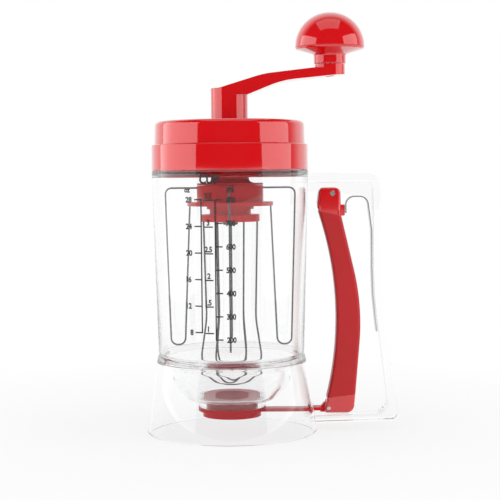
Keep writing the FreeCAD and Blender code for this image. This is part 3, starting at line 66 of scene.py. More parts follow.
@dataclass(frozen=True)
class Signal:
    """One output of a shader node, with arithmetic that adds Math nodes."""

    bench: "Bench"
    socket: bpy.types.NodeSocket

    def _maths(self, operation: str, first: object, second: object) -> "Signal":
        """Add one Math node.

        Args:
            operation: Blender's name for the operation.
            first: its first value or signal.
            second: its second value or signal.

        Returns:
            The node's result.
        """
        return self.bench.node("ShaderNodeMath", {"operation": operation}, {0: first, 1: second})

    def __add__(self, other: object) -> "Signal":
        """Sum."""
        return self._maths("ADD", self, other)

    __radd__ = __add__

    def __sub__(self, other: object) -> "Signal":
        """Difference."""
        return self._maths("SUBTRACT", self, other)

    def __rsub__(self, other: object) -> "Signal":
        """Difference from a plain number."""
        return self._maths("SUBTRACT", other, self)

    def __mul__(self, other: object) -> "Signal":
        """Product."""
        return self._maths("MULTIPLY", self, other)

    __rmul__ = __mul__

    def limit(self, low: float, high: float) -> "Signal":
        """Keep the signal between two numbers."""
        return self._maths("MINIMUM", self._maths("MAXIMUM", self, low), high)

    def larger(self, other: object) -> "Signal":
        """The larger of two signals."""
        return self._maths("MAXIMUM", self, other)


class Bench:
    """Makes the nodes of one material or world."""

    def __init__(self, owner: bpy.types.Material | bpy.types.World) -> None:
        """Take over an owner's node tree and empty it.

        Args:
            owner: the material or world.
        """
        owner.use_nodes = True
        self.tree = owner.node_tree
        self.tree.nodes.clear()

    def node(self, kind: str, settings: dict[str, object] | None = None,
             values: dict[str | int, object] | None = None, output: str | int = 0) -> Signal:
        """Add a node.

        Args:
            kind: the node's type.
            settings: its own properties, set first; stops sets a ramp's stops.
            values: a number, colour or signal for each named or numbered input.
            output: which output is returned.

        Returns:
            That output as a signal.
        """
        made = self.tree.nodes.new(kind)
        for key, value in (settings or {}).items():
            if key == "stops":
                ramp = made.color_ramp
                while len(ramp.elements) < len(value):
                    ramp.elements.new(1.0)
                for element, (place, shade) in zip(ramp.elements, value):
                    element.position = place
                    element.color = shade
            else:
                setattr(made, key, value)
        for key, value in (values or {}).items():
            if isinstance(value, Signal):
                self.tree.links.new(value.socket, made.inputs[key])
            else:
                made.inputs[key].default_value = value
        return Signal(self, made.outputs[output] if made.outputs else None)

    def place(self) -> Signal:
        """Position on the object, in metres."""
        return self.node("ShaderNodeTexCoord", output="Object")

    def noise(self, scale: float, detail: float = 3.0,
              stretch: tuple[float, float, float] = (1, 1, 1)) -> Signal:
        """Cloudy pattern from 0 to 1.

        Args:
            scale: features per metre.
            detail: octaves.
            stretch: factors on the position.

        Returns:
            The pattern.
        """
        spot = self.node("ShaderNodeMapping", values={"Vector": self.place(), "Scale": stretch})
        return self.node("ShaderNodeTexNoise", {"noise_dimensions": "3D"},
                         {"Vector": spot, "Scale": scale, "Detail": detail})

    def bump(self, height: Signal, depth: float) -> Signal:
        """Relief from a height signal.

        Args:
            height: 0 to 1.
            depth: metres from the lowest to the highest place.

        Returns:
            A normal.
        """
        return self.node("ShaderNodeBump", values={"Strength": 1.0, "Distance": depth, "Height": height})

    def tint(self, factor: Signal, dark: Sequence[float], light: Sequence[float]) -> Signal:
        """Blend of two colours.

        Args:
            factor: 0 for the first colour, 1 for the second.
            dark: first colour.
            light: second colour.

        Returns:
            The blended colour.
        """
        return self.node("ShaderNodeMix", {"data_type": "RGBA"},
                         {0: factor, 6: (*dark, 1.0), 7: (*light, 1.0)}, output=2)

    def surface(self, values: dict[str, object]) -> None:
        """Finish a material with a principled surface.

        Args:
            values: its inputs.
        """
        shader = self.node("ShaderNodeBsdfPrincipled", values=values)
        self.node("ShaderNodeOutputMaterial", values={"Surface": shader})


# Finishes

@dataclass(frozen=True)
class GlossPlastic:
    """Moulded plastic with a polished face and the faint orange peel of a mould."""

    colour: tuple[float, float, float]
    roughness: float = 0.05
    coat: float = 1.0
    peel: float = 0.000004
    index: float = 1.55

    def make(self, name: str) -> bpy.types.Material:
        """Build the material.

        Args:
            name: its name.

        Returns:
            The material.
        """
        material = bpy.data.materials.new(name)
        bench = Bench(material)
        cloud = bench.noise(scale=38.0, detail=4.0)
        wear = bench.noise(scale=9.0, detail=2.0)
        grain = bench.noise(scale=900.0, detail=2.0)
        deep = tuple(channel * 0.9 for channel in self.colour)
        bench.surface({
            "Base Color": bench.tint(cloud, deep, self.colour),
            "Roughness": self.roughness + cloud * 0.03 + wear * 0.02,
            "IOR": self.index,
            "Coat Weight": self.coat,
            "Coat Roughness": 0.02,
            "Normal": bench.bump(grain, self.peel),
        })
        return material


@dataclass(frozen=True)
class SatinPlastic:
    """Finely spark-eroded plastic of a grip or an unseen technical part."""

    colour: tuple[float, float, float]
    roughness: float = 0.4
    grain_depth: float = 0.00002

    def make(self, name: str) -> bpy.types.Material:
        """Build the material.

        Args:
            name: its name.

        Returns:
            The material.
        """
        material = bpy.data.materials.new(name)
        bench = Bench(material)
        cloud = bench.noise(scale=30.0, detail=4.0)
        grain = bench.noise(scale=2600.0, detail=2.0)
        deep = tuple(channel * 0.86 for channel in self.colour)
        bench.surface({
            "Base Color": bench.tint(cloud, deep, self.colour),
            "Roughness": self.roughness + cloud * 0.08,
            "IOR": 1.48,
            "Normal": bench.bump(grain, self.grain_depth),
        })
        return material


@dataclass(frozen=True)
class ClearPlastic:
    """Colourless moulded plastic with painted shade that greys it where it is seen edge on, and slight flow waves
    in its faces.
    """

    face_colour: tuple[float, float, float] = (0.99, 0.991, 0.993)
    painted_edge_shade: tuple[float, float, float] = (0.86, 0.865, 0.875)
    painted_shade_start: float = 0.6
    roughness: float = 0.0
    wave: float = 0.000002

    def make(self, name: str) -> bpy.types.Material:
        """Build the material.

        Args:
            name: its name.

        Returns:
            The material.
        """
        material = bpy.data.materials.new(name)
        bench = Bench(material)
        flow = bench.noise(scale=26.0, detail=2.0, stretch=(1.0, 1.0, 0.25))
        haze = bench.noise(scale=60.0, detail=3.0)
        # Painted shade: the base colour turns grey where the face is seen edge on, standing in for the dark
        # refraction and reflection at the walls.
        facing = bench.node("ShaderNodeLayerWeight", values={"Blend": 0.5}, output="Facing")
        edge = ((facing - self.painted_shade_start) * (1 / (1 - self.painted_shade_start))).limit(0.0, 1.0)
        bench.surface({
            "Base Color": bench.tint(edge * edge, self.face_colour, self.painted_edge_shade),
            "Roughness": self.roughness + haze * 0.0015,
            "IOR": 1.47,
            "Transmission Weight": 1.0,
            "Normal": bench.bump(flow, self.wave),
        })
        return material


@dataclass(frozen=True)
class Silicone:
    """Soft moulded ring that light soaks into."""

    colour: tuple[float, float, float]
    depth: float = 0.002

    def make(self, name: str) -> bpy.types.Material:
        """Build the material.

        Args:
            name: its name.

        Returns:
            The material.
        """
        material = bpy.data.materials.new(name)
        bench = Bench(material)
        cloud = bench.noise(scale=120.0, detail=3.0)
        grain = bench.noise(scale=1500.0, detail=2.0)
        deep = tuple(channel * 0.88 for channel in self.colour)
        bench.surface({
            "Base Color": bench.tint(cloud, deep, self.colour),
            "Roughness": 0.32 + cloud * 0.1,
            "IOR": 1.42,
            "Subsurface Weight": 0.4,
            "Subsurface Radius": (1.0, 0.35, 0.3),
            "Subsurface Scale": self.depth,
            "Normal": bench.bump(grain, 0.00001),
        })
        return material


@dataclass(frozen=True)
class PolishedSteel:
    """Drawn steel wire or turned steel with fine lines along it."""

    colour: tuple[float, float, float] = (0.6, 0.6, 0.61)
    roughness: float = 0.16

    def make(self, name: str) -> bpy.types.Material:
        """Build the material.

        Args:
            name: its name.

        Returns:
            The material.
        """
        material = bpy.data.materials.new(name)
        bench = Bench(material)
        lines = bench.noise(scale=700.0, detail=3.0, stretch=(1.0, 1.0, 0.03))
        cloud = bench.noise(scale=50.0, detail=3.0)
        deep = tuple(channel * 0.82 for channel in self.colour)
        bench.surface({
            "Base Color": bench.tint(cloud, deep, self.colour),
            "Metallic": 1.0,
            "Roughness": self.roughness + lines * 0.12,
            "Normal": bench.bump(lines, 0.000004),
        })
        return material


@dataclass(frozen=True)
class PrintedInk:
    """Screen-printed ink, thin and slightly uneven."""

    colour: tuple[float, float, float] = (0.012, 0.012, 0.013)

    def make(self, name: str) -> bpy.types.Material:
        """Build the material.

        Args:
            name: its name.

        Returns:
            The material.
        """
        material = bpy.data.materials.new(name)
        bench = Bench(material)
        speckle = bench.noise(scale=2400.0, detail=4.0)
        thin = tuple(channel + 0.03 for channel in self.colour)
        bench.surface({
            "Base Color": bench.tint(speckle, self.colour, thin),
            "Roughness": 0.45 + speckle * 0.2,
            "Normal": bench.bump(speckle, 0.000006),
        })
        return material


class Finish(Enum):
    """The finishes of the dispenser's pieces."""

    CLEAR = ("clear_plastic", ClearPlastic())
    RED = ("red_plastic", GlossPlastic((0.76, 0.005, 0.009)))
    INNER_RED = ("red_plastic", GlossPlastic((0.84, 0.006, 0.014), 0.3, 0.0, index=1.3))
    GRIP = ("red_grip", SatinPlastic((0.6, 0.01, 0.014), 0.34))
    SEAL = ("red_silicone", Silicone((0.9, 0.2, 0.24)))
    LID_SEAL = ("clear_silicone", Silicone((0.8, 0.8, 0.8)))
    STEEL = ("steel", PolishedSteel())
    # Painted reflection: polished steel with its colour darkened to stand in for the dark surroundings that the
    # whisk wires and shaft reflect.
    WIRE = ("steel", PolishedSteel((0.13, 0.13, 0.135), 0.12))
    NYLON = ("gear_plastic", SatinPlastic((0.8, 0.79, 0.74)))
    BUSH = ("bush_plastic", SatinPlastic((0.74, 0.74, 0.72)))
    INK = ("ink", PrintedInk())

    def material(self) -> bpy.types.Material:
        """The finish's material, made once."""
        maker = self.value[1]
        name = self.name.lower() + "_finish"
        return bpy.data.materials.get(name) or maker.make(name)


# Shapes

def rounded(corners: Sequence[Corner], step_angle: float = 0.16) -> list[Point]:
    """Closed outline through corners, the third number of a corner rounding it.

    Args:
        corners: (x, y) or (x, y, radius), in millimetres.
        step_angle: radians between the points of an arc.

    Returns:
        The outline's points, in millimetres.
    """
    spots = [Vector(corner[:2]) for corner in corners]
    outline: list[Point] = []
    for index, corner in enumerate(corners):
        spot = spots[index]
        if len(corner) < 3:
            outline.append((spot.x, spot.y))
            continue
        before = (spots[index - 1] - spot).normalized()
        after = (spots[(index + 1) % len(spots)] - spot).normalized()
        half = before.angle(after) / 2
        centre = spot + (before + after).normalized() * (corner[2] / math.sin(half))
        first = spot + before * (corner[2] / math.tan(half)) - centre
        last = spot + after * (corner[2] / math.tan(half)) - centre
        turn = first.angle_signed(last)
        steps = max(2, math.ceil(abs(turn) / step_angle))
        for step in range(steps + 1):
            arm = first.copy()
            arm.rotate(Matrix.Rotation(-turn * step / steps, 2))
            outline.append((centre.x + arm.x, centre.y + arm.y))
    return outline


def finish_mesh(piece: bpy.types.Object, finish: Finish, body: str, nodes: Sequence[str]) -> None:
    """Shade, dress and mount a piece.

    Args:
        piece: the finished object.
        finish: its finish.
        body: the body that it rides on, or nothing for a piece that bends between two.
        nodes: the nodes that it replaces.
    """
    for face in piece.data.polygons:
        face.use_smooth = True
    piece.data.set_sharp_from_angle(angle=SHARP_EDGE)
    piece.data.materials.clear()
    piece.data.materials.append(finish.material())
    if body:
        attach(piece, body)
    if nodes:
        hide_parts(*nodes)
    log.info("%s rides on %s", piece.name, body or "two bodies")


def new_piece(name: str, mesh: bmesh.types.BMesh) -> bpy.types.Object:
    """Object from a bmesh, with outward normals.

    Args:
        name: its name.
        mesh: its mesh in metres, freed here.

    Returns:
        The object.
    """
    bmesh.ops.recalc_face_normals(mesh, faces=mesh.faces)
    data = bpy.data.meshes.new(name)
    mesh.to_mesh(data)
    mesh.free()
    piece = bpy.data.objects.new(name, data)
    bpy.context.scene.collection.objects.link(piece)
    return piece


def lathe(name: str, corners: Sequence[Corner], centre: float = 0.0, segments: int = 192,
          step_angle: float = 0.16) -> bpy.types.Object:
    """Solid of revolution about an upright axis.

    Args:
        name: its name.
        corners: closed outline of (radius, height) corners in millimetres.
        centre: the axis's X in millimetres.
        segments: steps round.
        step_angle: radians between the points of an arc.

    Returns:
        The object.
    """
    def spot(radius: float, height: float, angle: float) -> tuple[float, float, float]:
        """Place on a ring, in metres."""
        return (centre + radius * math.cos(angle)) * MM, radius * math.sin(angle) * MM, height * MM

    mesh = bmesh.new()
    angles = [2 * math.pi * turn / segments for turn in range(segments)]
    rings = []
    for radius, height in rounded(corners, step_angle):
        around = angles if radius > ON_AXIS else angles[:1]
        rings.append([mesh.verts.new(spot(radius, height, angle)) for angle in around])
    for index, ring in enumerate(rings):
        following = rings[(index + 1) % len(rings)]
        if len(ring) == 1 and len(following) == 1:
            continue
        for turn in range(segments):
            ahead = (turn + 1) % segments
            loop = [ring[turn % len(ring)], ring[ahead % len(ring)],
                    following[ahead % len(following)], following[turn % len(following)]]
            mesh.faces.new([vert for place, vert in enumerate(loop) if vert not in loop[:place]])
    return new_piece(name, mesh)


def cut(piece: bpy.types.Object, tool: bpy.types.Object) -> None:
    """Cut a tool's shape out of a piece and delete the tool.

    Args:
        piece: the object that changes.
        tool: the other object.
    """
    modifier = piece.modifiers.new("cut", "BOOLEAN")
    modifier.operation = "DIFFERENCE"
    modifier.solver = "EXACT"
    modifier.object = tool
    settle(piece)
    bpy.data.objects.remove(tool)


def settle(piece: bpy.types.Object) -> None:
    """Apply every modifier of a piece."""
    graph = bpy.context.evaluated_depsgraph_get()
    graph.update()
    data = bpy.data.meshes.new_from_object(piece.evaluated_get(graph))
    piece.modifiers.clear()
    piece.data = data


def prism(name: str, outline: Sequence[Point], half_width: float,
          place: Callable[[float, float, float], Vector]) -> bpy.types.Object:
    """Straight solid on an outline.

    Args:
        name: its name.
        outline: points in millimetres.
        half_width: half of its width in millimetres.
        place: turns (x, y, across) in millimetres into a place in metres.

    Returns:
        The object.
    """
    mesh = bmesh.new()
    sides = [[mesh.verts.new(place(x, y, across)) for x, y in outline]
             for across in (-half_width, half_width)]
    count = len(outline)
    for index in range(count):
        ahead = (index + 1) % count
        mesh.faces.new((sides[0][index], sides[0][ahead], sides[1][ahead], sides[1][index]))
    mesh.faces.new(sides[0])
    mesh.faces.new(list(reversed(sides[1])))
    return new_piece(name, mesh)


def side_view(x: float, z: float, across: float) -> Vector:
    """Place for an outline drawn in the XZ plane."""
    return Vector((x, across, z)) * MM


def dress(nodes: Iterable[str], finish: Finish, thin: float = 0.0) -> None:
    """Give CAD nodes their finish.

    Args:
        nodes: their names.
        finish: the finish.
        thin: millimetres that a modifier draws their faces in.
    """
    for node in nodes:
        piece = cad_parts[node]
        if not piece.data.materials:
            piece.data.materials.append(None)
        for slot in piece.material_slots:
            slot.material = finish.material()
        if thin:
            modifier = piece.modifiers.new("thin", "DISPLACE")
            modifier.direction = "NORMAL"
            modifier.mid_level = 0.0
            modifier.strength = -thin * MM
        log.info("%s is dressed in %s", node, finish.value[0])


# Sub-assemblies, sizes in millimetres

@dataclass
class Jar:
    """Clear jar, its bowl, collar, neck and skirt, and the clear handle beside it."""

    shoulder: float = 168.7
    radius: float = 50.3
    waist: float = 47.0
    wall: float = 2.2
    edge: float = 0.8
    crisp_edge: float = 0.3
    neck: float = 47.4
    neck_height: float = 11.5
    mouth_lead: float = 1.1
    bowl_top: float = 50.5
    skirt_height: float = 49.4
    skirt_wall: float = 2.4
    skirt_foot: float = 54.9
    skirt_flare: Corner = (50.6, 36.0, 80.0)
    ledge: float = 0.5
    bowl_inside: tuple[Corner, ...] = ((36.2, 43.5, 4.0), (35.4, 32.0, 12.0), (26.0, 22.6, 7.0))
    bowl_outside: tuple[Corner, ...] = ((27.0, 20.4, 8.0), (37.6, 31.0, 13.0), (38.4, 41.74, 4.0))
    seat: float = 18.9
    seat_top: float = 22.5
    seat_floor: float = 19.9
    outlet: float = 16.8
    collar: float = 21.5
    collar_foot: float = 16.2
    collar_top: float = 20.4
    slot_half_width: float = 6.0
    slot_low: float = 11.4
    slot_high: float = 16.6
    slot_corner: float = 1.4
    slot_centre: float = 52.0
    slot_reach: float = 8.0

    def outside(self) -> list[Corner]:
        """Section from the skirt's foot up over the wall and the neck."""
        return [
            (self.skirt_foot, 0.0, self.edge),
            self.skirt_flare,
            (self.waist + self.ledge, self.skirt_height, self.crisp_edge),
            (self.waist, self.skirt_height + self.ledge, self.crisp_edge),
            (self.radius, self.shoulder, self.edge),
            (self.neck, self.shoulder, self.crisp_edge),
            (self.neck, self.shoulder + self.neck_height, 0.4),
        ]

    def inside(self) -> list[Corner]:
        """Section from the mouth down the wall and the bowl to the outlet."""
        bore = self.neck - self.wall
        return [
            (bore, self.shoulder + self.neck_height, 0.4),
            (bore, self.shoulder - self.mouth_lead, self.edge),
            (self.radius - self.wall, self.shoulder - 2 * self.wall, self.edge),
            (self.waist - self.wall, self.bowl_top, 3.0),
            *self.bowl_inside,
            (self.seat, self.seat_top, self.crisp_edge),
            (self.seat, self.seat_floor),
            (self.outlet, self.seat_floor),
            (self.outlet, self.collar_foot, self.crisp_edge),
        ]

    def underside(self) -> list[Corner]:
        """Section from the outlet's collar out under the bowl and down inside the skirt."""
        flare, flare_height, bend = self.skirt_flare
        return [
            (self.collar, self.collar_foot, self.edge),
            (self.collar, self.collar_top, 1.0),
            *self.bowl_outside,
            (self.waist + self.ledge - self.skirt_wall, 47.6, 2.0),
            (flare - self.skirt_wall, flare_height, bend - 2.0),
            (self.skirt_foot - self.skirt_wall, 0.0, 0.4),
        ]

    def stem_slot(self) -> bpy.types.Object:
        """Tool for the slot in the skirt that the gate's stem passes through."""
        sides = (-self.slot_half_width, self.slot_half_width)
        low, high = self.slot_low, self.slot_high
        corners = [(sides[0], low), (sides[1], low), (sides[1], high), (sides[0], high)]

        def across_x(y: float, z: float, across: float) -> Vector:
            """Place for an outline drawn in the YZ plane, run outward along +X."""
            return Vector((self.slot_centre + across, y, z)) * MM

        slot = rounded([(*corner, self.slot_corner) for corner in corners])
        return prism("stem_slot", slot, self.slot_reach, across_x)

    def build(self) -> None:
        """Make the jar with its stem slot and dress the handle."""
        section = self.outside() + self.inside() + self.underside()
        jar = lathe("clear_jar", section, segments=FINE_SEGMENTS, step_angle=FINE_ARC)
        cut(jar, self.stem_slot())
        finish_mesh(jar, Finish.CLEAR, "jar", ["jar_shell", "jar_bowl", "base_skirt"])
        dress(["handle_frame"], Finish.CLEAR)


@dataclass
class Outlet:
    """Seal, valve housing and gate under the bowl."""

    def build(self) -> None:
        """Dress the outlet's pieces."""
        dress(["outlet_seal"], Finish.SEAL)
        dress(["valve_housing", "gate_slide"], Finish.INNER_RED)


@dataclass
class Lid:
    """Red lid with its step and crown."""

    shoulder: float = 168.7
    height: float = 31.3
    step_height: float = 16.4
    wall: float = 2.0
    seat_gap: float = 0.05
    skirt_foot: float = 50.4
    skirt: float = 50.3
    skirt_bore: float = 47.6
    crown_foot: float = 48.4
    crown: float = 48.0
    crown_bore: float = 46.0
    shaft_hole: float = 5.6
    plug: float = 44.5
    plug_bore: float = 42.5
    plug_reach: float = 4.2
    groove: float = 43.3
    groove_low: float = 2.95
    groove_high: float = 5.85

    def outline(self) -> list[Corner]:
        """Section of the lid up the outside, down the plug and back down inside the skirt."""
        foot = self.shoulder + self.seat_gap
        step = self.shoulder + self.step_height
        top = self.shoulder + self.height
        plug_foot = self.shoulder - self.plug_reach
        groove_low, groove_high = self.shoulder + self.groove_low, self.shoulder + self.groove_high
        return [
            (self.skirt_foot, foot, 0.4),
            (self.skirt, step, 0.7),
            (self.crown_foot, step, 0.35),
            (self.crown, top, 3.0),
            (self.shaft_hole, top),
            (self.shaft_hole, top - self.wall),
            (self.plug_bore, top - self.wall, 0.6),
            (self.plug_bore, plug_foot, 0.5),
            (self.plug, plug_foot, 0.5),
            (self.plug, groove_low),
            (self.groove, groove_low),
            (self.groove, groove_high),
            (self.plug, groove_high),
            (self.plug, top - self.wall),
            (self.crown_bore, top - self.wall),
            (self.crown_bore, step - self.wall),
            (self.skirt_bore, step - self.wall),
            (self.skirt_bore, foot, 0.3),
        ]

    def build(self) -> None:
        """Make the lid and dress what it carries."""
        lid = lathe("lid", self.outline(), segments=FINE_SEGMENTS, step_angle=FINE_ARC)
        finish_mesh(lid, Finish.RED, "lid", ["lid_cap"])
        dress(["gear_carrier"], Finish.INNER_RED)
        dress(["lid_seal"], Finish.LID_SEAL)
        dress(["shaft_bush"], Finish.BUSH)
        dress(["carrier_screws", "planet_pins"], Finish.STEEL)


@dataclass
class Whisks:
    """Gear cup, inner hub, wires and gears."""

    thinner: float = 0.38
    outer_loops: int = 4
    inner_loops: int = 3

    def build(self) -> None:
        """Dress the whisks and the gears."""
        dress(["ring_gear_cup", "inner_whisk_hub"], Finish.INNER_RED)
        for whisk, loops in (("outer", self.outer_loops), ("inner", self.inner_loops)):
            dress([f"{whisk}_whisk_loop_{turn + 1}" for turn in range(loops)], Finish.WIRE,
                  thin=self.thinner)
        dress(["drive_shaft", "shaft_end_screw"], Finish.WIRE)
        dress(["sun_gear", "planet_gear_1", "planet_gear_2", "planet_gear_3"], Finish.NYLON)


@dataclass
class Crank:
    """Crank arm and its knob."""

    throw: float = 64.7
    rim: float = 246.8
    knob_radius: float = 22.2
    knob_wall: float = 2.4
    rim_gap: float = 0.05
    rim_lip: float = 1.4
    stem_radius: float = 10.2
    stem_bore: float = 3.1
    stem_foot: float = 236.0
    stem_waist: float = 242.2
    stem_top: float = 244.6

    def dome(self) -> list[Corner]:
        """Section of the knob's hollow dome."""
        crown = self.rim + self.knob_radius
        bore = self.knob_radius - self.knob_wall
        return [
            (self.knob_radius, self.rim, 0.2),
            (self.knob_radius, crown, self.knob_radius - 0.3),
            (0.0, crown),
            (0.0, crown - self.knob_wall),
            (bore, crown - self.knob_wall, bore - 0.3),
            (bore, self.rim),
        ]

    def stem(self) -> list[Corner]:
        """Section of the knob's stem and underside."""
        return [
            (self.stem_bore, self.stem_foot),
            (self.stem_radius, self.stem_foot, 0.6),
            (self.stem_radius, self.stem_waist, 1.6),
            (self.knob_radius - 0.6, self.rim - self.rim_lip, 0.5),
            (self.knob_radius, self.rim - self.rim_gap, 0.1),
            (self.knob_radius - self.knob_wall, self.rim - self.rim_gap),
            (self.stem_radius, self.stem_top, 2.0),
            (self.stem_bore, self.stem_top),
        ]

    def build(self) -> None:
        """Dress the crank and make the knob."""
        dress(["crank_arm"], Finish.RED)
        dress(["knob_screw"], Finish.STEEL)
        dome = lathe("knob_dome", self.dome(), centre=self.throw, step_angle=DOME_ARC)
        finish_mesh(dome, Finish.RED, "knob", ["knob_cap"])
        stem = lathe("knob_stem", self.stem(), centre=self.throw)
        finish_mesh(stem, Finish.RED, "knob", ["knob_base"])


@dataclass
class Trigger:
    """Trigger, its grip, pins and spring."""

    spring_half_width: float = 4.0
    spring_thickness: float = 0.8
    spring_route: tuple[Corner, ...] = (
        (74.3, 140.5), (74.3, 151.2, 5.5), (88.05, 151.2, 5.5), (90.8, 129.5, 44.0), (90.8, 88.0, 260.0),
        (93.87, 64.0),
    )

    def spring(self) -> None:
        """Make the leaf spring, whose arch bends between the trigger and the handle."""
        spots = [Vector(spot) for spot in rounded(self.spring_route, 0.1)]
        edges: list[list[Point]] = [[], []]
        for index, spot in enumerate(spots):
            along = (spots[min(index + 1, len(spots) - 1)] - spots[max(index - 1, 0)]).normalized()
            across = Vector((-along.y, along.x)) * self.spring_thickness / 2
            edges[0].append(tuple(spot + across))
            edges[1].append(tuple(spot - across))
        strip = prism("spring_strip", edges[0] + edges[1][::-1], self.spring_half_width, side_view)
        finish_mesh(strip, Finish.STEEL, "", ["leaf_spring"])
        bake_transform(strip)

    def build(self) -> None:
        """Dress the trigger's pieces."""
        dress(["trigger_lever"], Finish.RED)
        dress(["trigger_grip"], Finish.GRIP)
        dress(["trigger_pivot_pin", "link_pin"], Finish.STEEL)
        self.spring()


@dataclass(frozen=True)
class Column:
    """One printed scale from its top mark down, in millimetres across from its line."""

    figures: tuple[str, ...]
    line: float
    top: float
    pitch: float
    mark: Point
    long_figure: float
    short_figure: float
    figure_lift: float = 0.0
    ruled: bool = True


@dataclass
class PrintedScale:
    """Black graduations on the front of the jar, in three scales."""

    foot_radius: float = 47.0
    foot_height: float = 49.9
    top_radius: float = 50.3
    top_height: float = 168.7
    lift: float = 0.06
    line: float = 0.82
    weight: float = 0.06
    squeeze: float = 0.84
    spacing: float = 0.95
    capital_share: float = 0.7
    bar_step: float = 1.2
    figure_height: float = 3.3
    columns: tuple[Column, ...] = (
        Column(("28", "24", "20", "16", "12", "8"), -17.2, 150.6, 16.37, (-4.2, 0.0), -9.7, -7.6),
        Column(("3.5", "3", "2.5", "2", "1.5", "1"), -17.2, 150.2, 16.37, (2.0, 7.2), 2.0, 3.4, 2.7, False),
        Column(("800", "700", "600", "500", "400", "300", "200"), -8.6, 150.4, 14.33, (0.0, 4.4), 6.6, 6.6),
    )
    headings: tuple[tuple[str, float, float, float], ...] = (
        ("CUP", -18.2, 163.0, 5.2),
        ("oz", -27.6, 156.6, 3.0),
        ("ml", -1.6, 157.0, 4.0),
    )

    def spot(self, across: float, height: float) -> Vector:
        """Place on the jar's front.

        Args:
            across: millimetres to the right of the middle, as seen from the front.
            height: millimetres above the base.

        Returns:
            The place in metres.
        """
        share = (height - self.foot_height) / (self.top_height - self.foot_height)
        radius = self.foot_radius + (self.top_radius - self.foot_radius) * share + self.lift
        angle = math.asin(max(-1.0, min(1.0, across / radius)))
        return Vector((radius * math.sin(angle), -radius * math.cos(angle), height)) * MM

    def bar(self, mesh: bmesh.types.BMesh, left: float, right: float, low: float, high: float) -> None:
        """Add a straight printed bar.

        Args:
            mesh: the mesh that it joins.
            left: left edge in millimetres.
            right: right edge.
            low: lower edge.
            high: upper edge.
        """
        steps = max(1, round((right - left) / self.bar_step))
        columns = [left + (right - left) * step / steps for step in range(steps + 1)]
        rows = [(mesh.verts.new(self.spot(x, low)), mesh.verts.new(self.spot(x, high))) for x in columns]
        for (low_a, high_a), (low_b, high_b) in zip(rows, rows[1:]):
            mesh.faces.new((low_a, low_b, high_b, high_a))

    def words(self, mesh: bmesh.types.BMesh, text: str, left: float, middle: float, height: float) -> None:
        """Add printed figures.

        Args:
            mesh: the mesh that they join.
            text: the figures.
            left: their left edge in millimetres.
            middle: the height of their middle.
            height: the height of a figure.
        """
        curve = bpy.data.curves.new("figures", "FONT")
        curve.body = text
        curve.size = height / self.capital_share
        curve.space_character = self.spacing
        curve.resolution_u = 3
        curve.offset = self.weight * height
        carrier = bpy.data.objects.new("figures", curve)
        bpy.context.scene.collection.objects.link(carrier)
        graph = bpy.context.evaluated_depsgraph_get()
        flat = bpy.data.meshes.new_from_object(carrier.evaluated_get(graph))
        start = min(vert.co.x for vert in flat.vertices) * self.squeeze
        foot = middle - height / 2
        verts = [mesh.verts.new(self.spot(left + vert.co.x * self.squeeze - start, foot + vert.co.y))
                 for vert in flat.vertices]
        for face in flat.polygons:
            mesh.faces.new([verts[index] for index in face.vertices])
        bpy.data.objects.remove(carrier)
        bpy.data.curves.remove(curve)
        bpy.data.meshes.remove(flat)

    def column(self, mesh: bmesh.types.BMesh, column: Column) -> None:
        """Print the marks, the figures and the upright line of one scale.

        Args:
            mesh: the mesh that they join.
            column: the scale.
        """
        half = self.line / 2
        longest = max(len(figure) for figure in column.figures)
        for place, figure in enumerate(column.figures):
            level = column.top - column.pitch * place
            self.bar(mesh, column.line + column.mark[0], column.line + column.mark[1], level - half, level + half)
            edge = column.long_figure if len(figure) == longest else column.short_figure
            self.words(mesh, figure, column.line + edge, level + column.figure_lift, self.figure_height)
        if column.ruled:
            lowest = column.top - column.pitch * (len(column.figures) - 1)
            self.bar(mesh, column.line - half, column.line + half, lowest - half, column.top + half)

    def build(self) -> None:
        """Print the three scales and their headings."""
        mesh = bmesh.new()
        for column in self.columns:
            self.column(mesh, column)
        for text, left, middle, height in self.headings:
            self.words(mesh, text, left, middle, height)
        data = bpy.data.meshes.new("printed_scale")
        mesh.to_mesh(data)
        mesh.free()
        piece = bpy.data.objects.new("printed_scale", data)
        bpy.context.scene.collection.objects.link(piece)
        finish_mesh(piece, Finish.INK, "jar", [])


@dataclass(frozen=True)
class Softbox:
    """One lamp of the studio."""

    name: str
    bearing: float
    elevation: float
    distance: float
    width: float
    height: float
    radiance: float
    mirrored: bool = True

    def build(self, target: Vector) -> None:
        """Hang the lamp so that it faces the object.

        Args:
            target: the place that it faces, in metres.
        """
        data = bpy.data.lights.new(self.name, "AREA")
        data.shape = "RECTANGLE"
        data.size, data.size_y = self.width, self.height
        data.energy = self.radiance * math.pi * self.width * self.height
        lamp = bpy.data.objects.new(self.name, data)
        bpy.context.scene.collection.objects.link(lamp)
        bearing, elevation = math.radians(self.bearing), math.radians(self.elevation)
        arm = Vector((math.sin(bearing) * math.cos(elevation), -math.cos(bearing) * math.cos(elevation),
                      math.sin(elevation)))
        lamp.location = target + arm * self.distance
        lamp.rotation_mode = "QUATERNION"
        lamp.rotation_quaternion = (-arm).to_track_quat("-Z", "Y")
        lamp.visible_transmission = False
        lamp.visible_glossy = self.mirrored
        lamp.visible_camera = False


